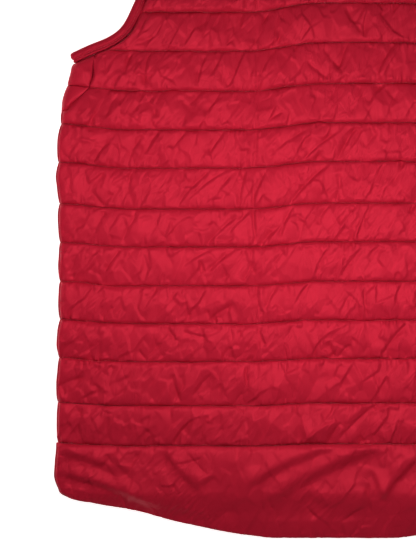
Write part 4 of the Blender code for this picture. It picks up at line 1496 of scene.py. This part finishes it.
# Camera: its height above what it looks at, the share of the object's length that it takes in,
# and where it looks, as shares of the object's size off its middle
CAMERA_HEIGHT = 1.5
SENSOR_HEIGHT = 24.0
VIEW_SHARE = 0.685
LOOK_ACROSS = -0.226
LOOK_ALONG = -0.1761

# (name, place, size, power, aim, roll in degrees) of the lights
LIGHTS = (
    ("soft_box", (-0.02, -0.09, 0.45), (0.74, 0.22), 2.4, (-0.03, -0.10, 0.0), 32.0),
    ("top_fill", (0.3, 1.2, 1.8), (1.2, 1.2), 1.5, (0.0, 0.0, 0.0), 0.0),
    ("side_fill", (-0.9, -0.1, 0.2), (0.8, 0.3), 1.0, (-0.27, -0.1, 0.0), 0.0),
)


def placed(name, data, place):
    """New object of the scene at a place."""
    thing = bpy.data.objects.new(name, data)
    thing.location = place
    bpy.context.scene.collection.objects.link(thing)
    return thing


def floor():
    mesh = bpy.data.meshes.new("floor")
    corners = [(-FLOOR_REACH, -FLOOR_REACH, 0.0), (FLOOR_REACH, -FLOOR_REACH, 0.0),
               (FLOOR_REACH, FLOOR_REACH, 0.0), (-FLOOR_REACH, FLOOR_REACH, 0.0)]
    mesh.from_pydata(corners, [], [(0, 1, 2, 3)])
    paper = Shader("white_paper", (0.93, 0.93, 0.93), 0.9, specular=0.2)
    paper.bump(paper.noise(300.0), 0.02, 0.0002)
    paper.set(paper.shader, "Emission Color", (1.0, 1.0, 1.0, 1.0))
    paper.set(paper.shader, "Emission Strength", FLOOR_GLOW)
    mesh.materials.append(paper.material)
    placed("floor", mesh, (0.0, 0.0, -FLOOR_DROP))


def camera():
    """Straight down on the wearer's left half of the back, cropped as a close-up."""
    low, high = CAD_BOX
    size = high - low
    middle = (low + high) / 2
    spot = Vector((middle.x + LOOK_ACROSS * size.x, middle.y + LOOK_ALONG * size.y, 0.8 * high.z))
    data = bpy.data.cameras.new("camera")
    data.sensor_fit = "VERTICAL"
    data.sensor_height = SENSOR_HEIGHT
    data.lens = SENSOR_HEIGHT * CAMERA_HEIGHT / (VIEW_SHARE * size.y)
    data.clip_end = 20.0
    bpy.context.scene.camera = placed("camera", data, spot + Vector((0.0, 0.0, CAMERA_HEIGHT)))


def light(name, place, size, power, aim, roll):
    data = bpy.data.lights.new(name, "AREA")
    data.shape = "ELLIPSE"
    data.size, data.size_y = size
    data.energy = power
    facing = (Vector(aim) - Vector(place)).to_track_quat("-Z", "Y")
    turned = facing @ Quaternion((0.0, 0.0, 1.0), math.radians(roll))
    placed(name, data, place).rotation_euler = turned.to_euler()


def studio():
    for row in LIGHTS:
        light(*row)
    world = bpy.data.worlds.new("studio")
    world.use_nodes = True
    background = world.node_tree.nodes["Background"]
    background.inputs["Color"].default_value = (1.0, 1.0, 1.0, 1.0)
    background.inputs["Strength"].default_value = WORLD_LIGHT
    bpy.context.scene.world = world
    bpy.context.scene.view_settings.view_transform = "Standard"


camera()
back()
front("quilted_front_left", "front_left", -1.0, 110)
front("quilted_front_right", "front_right", 1.0, 130)
collar()
armhole_binding("binding_left", "armhole_binding_left", -1.0, 150)
armhole_binding("binding_right", "armhole_binding_right", 1.0, 160)
zip_tape("woven_tape_left", "zip_tape_left", -1.0)
zip_tape("woven_tape_right", "zip_tape_right", 1.0)
zip_teeth()
carried_over()
floor()
studio()
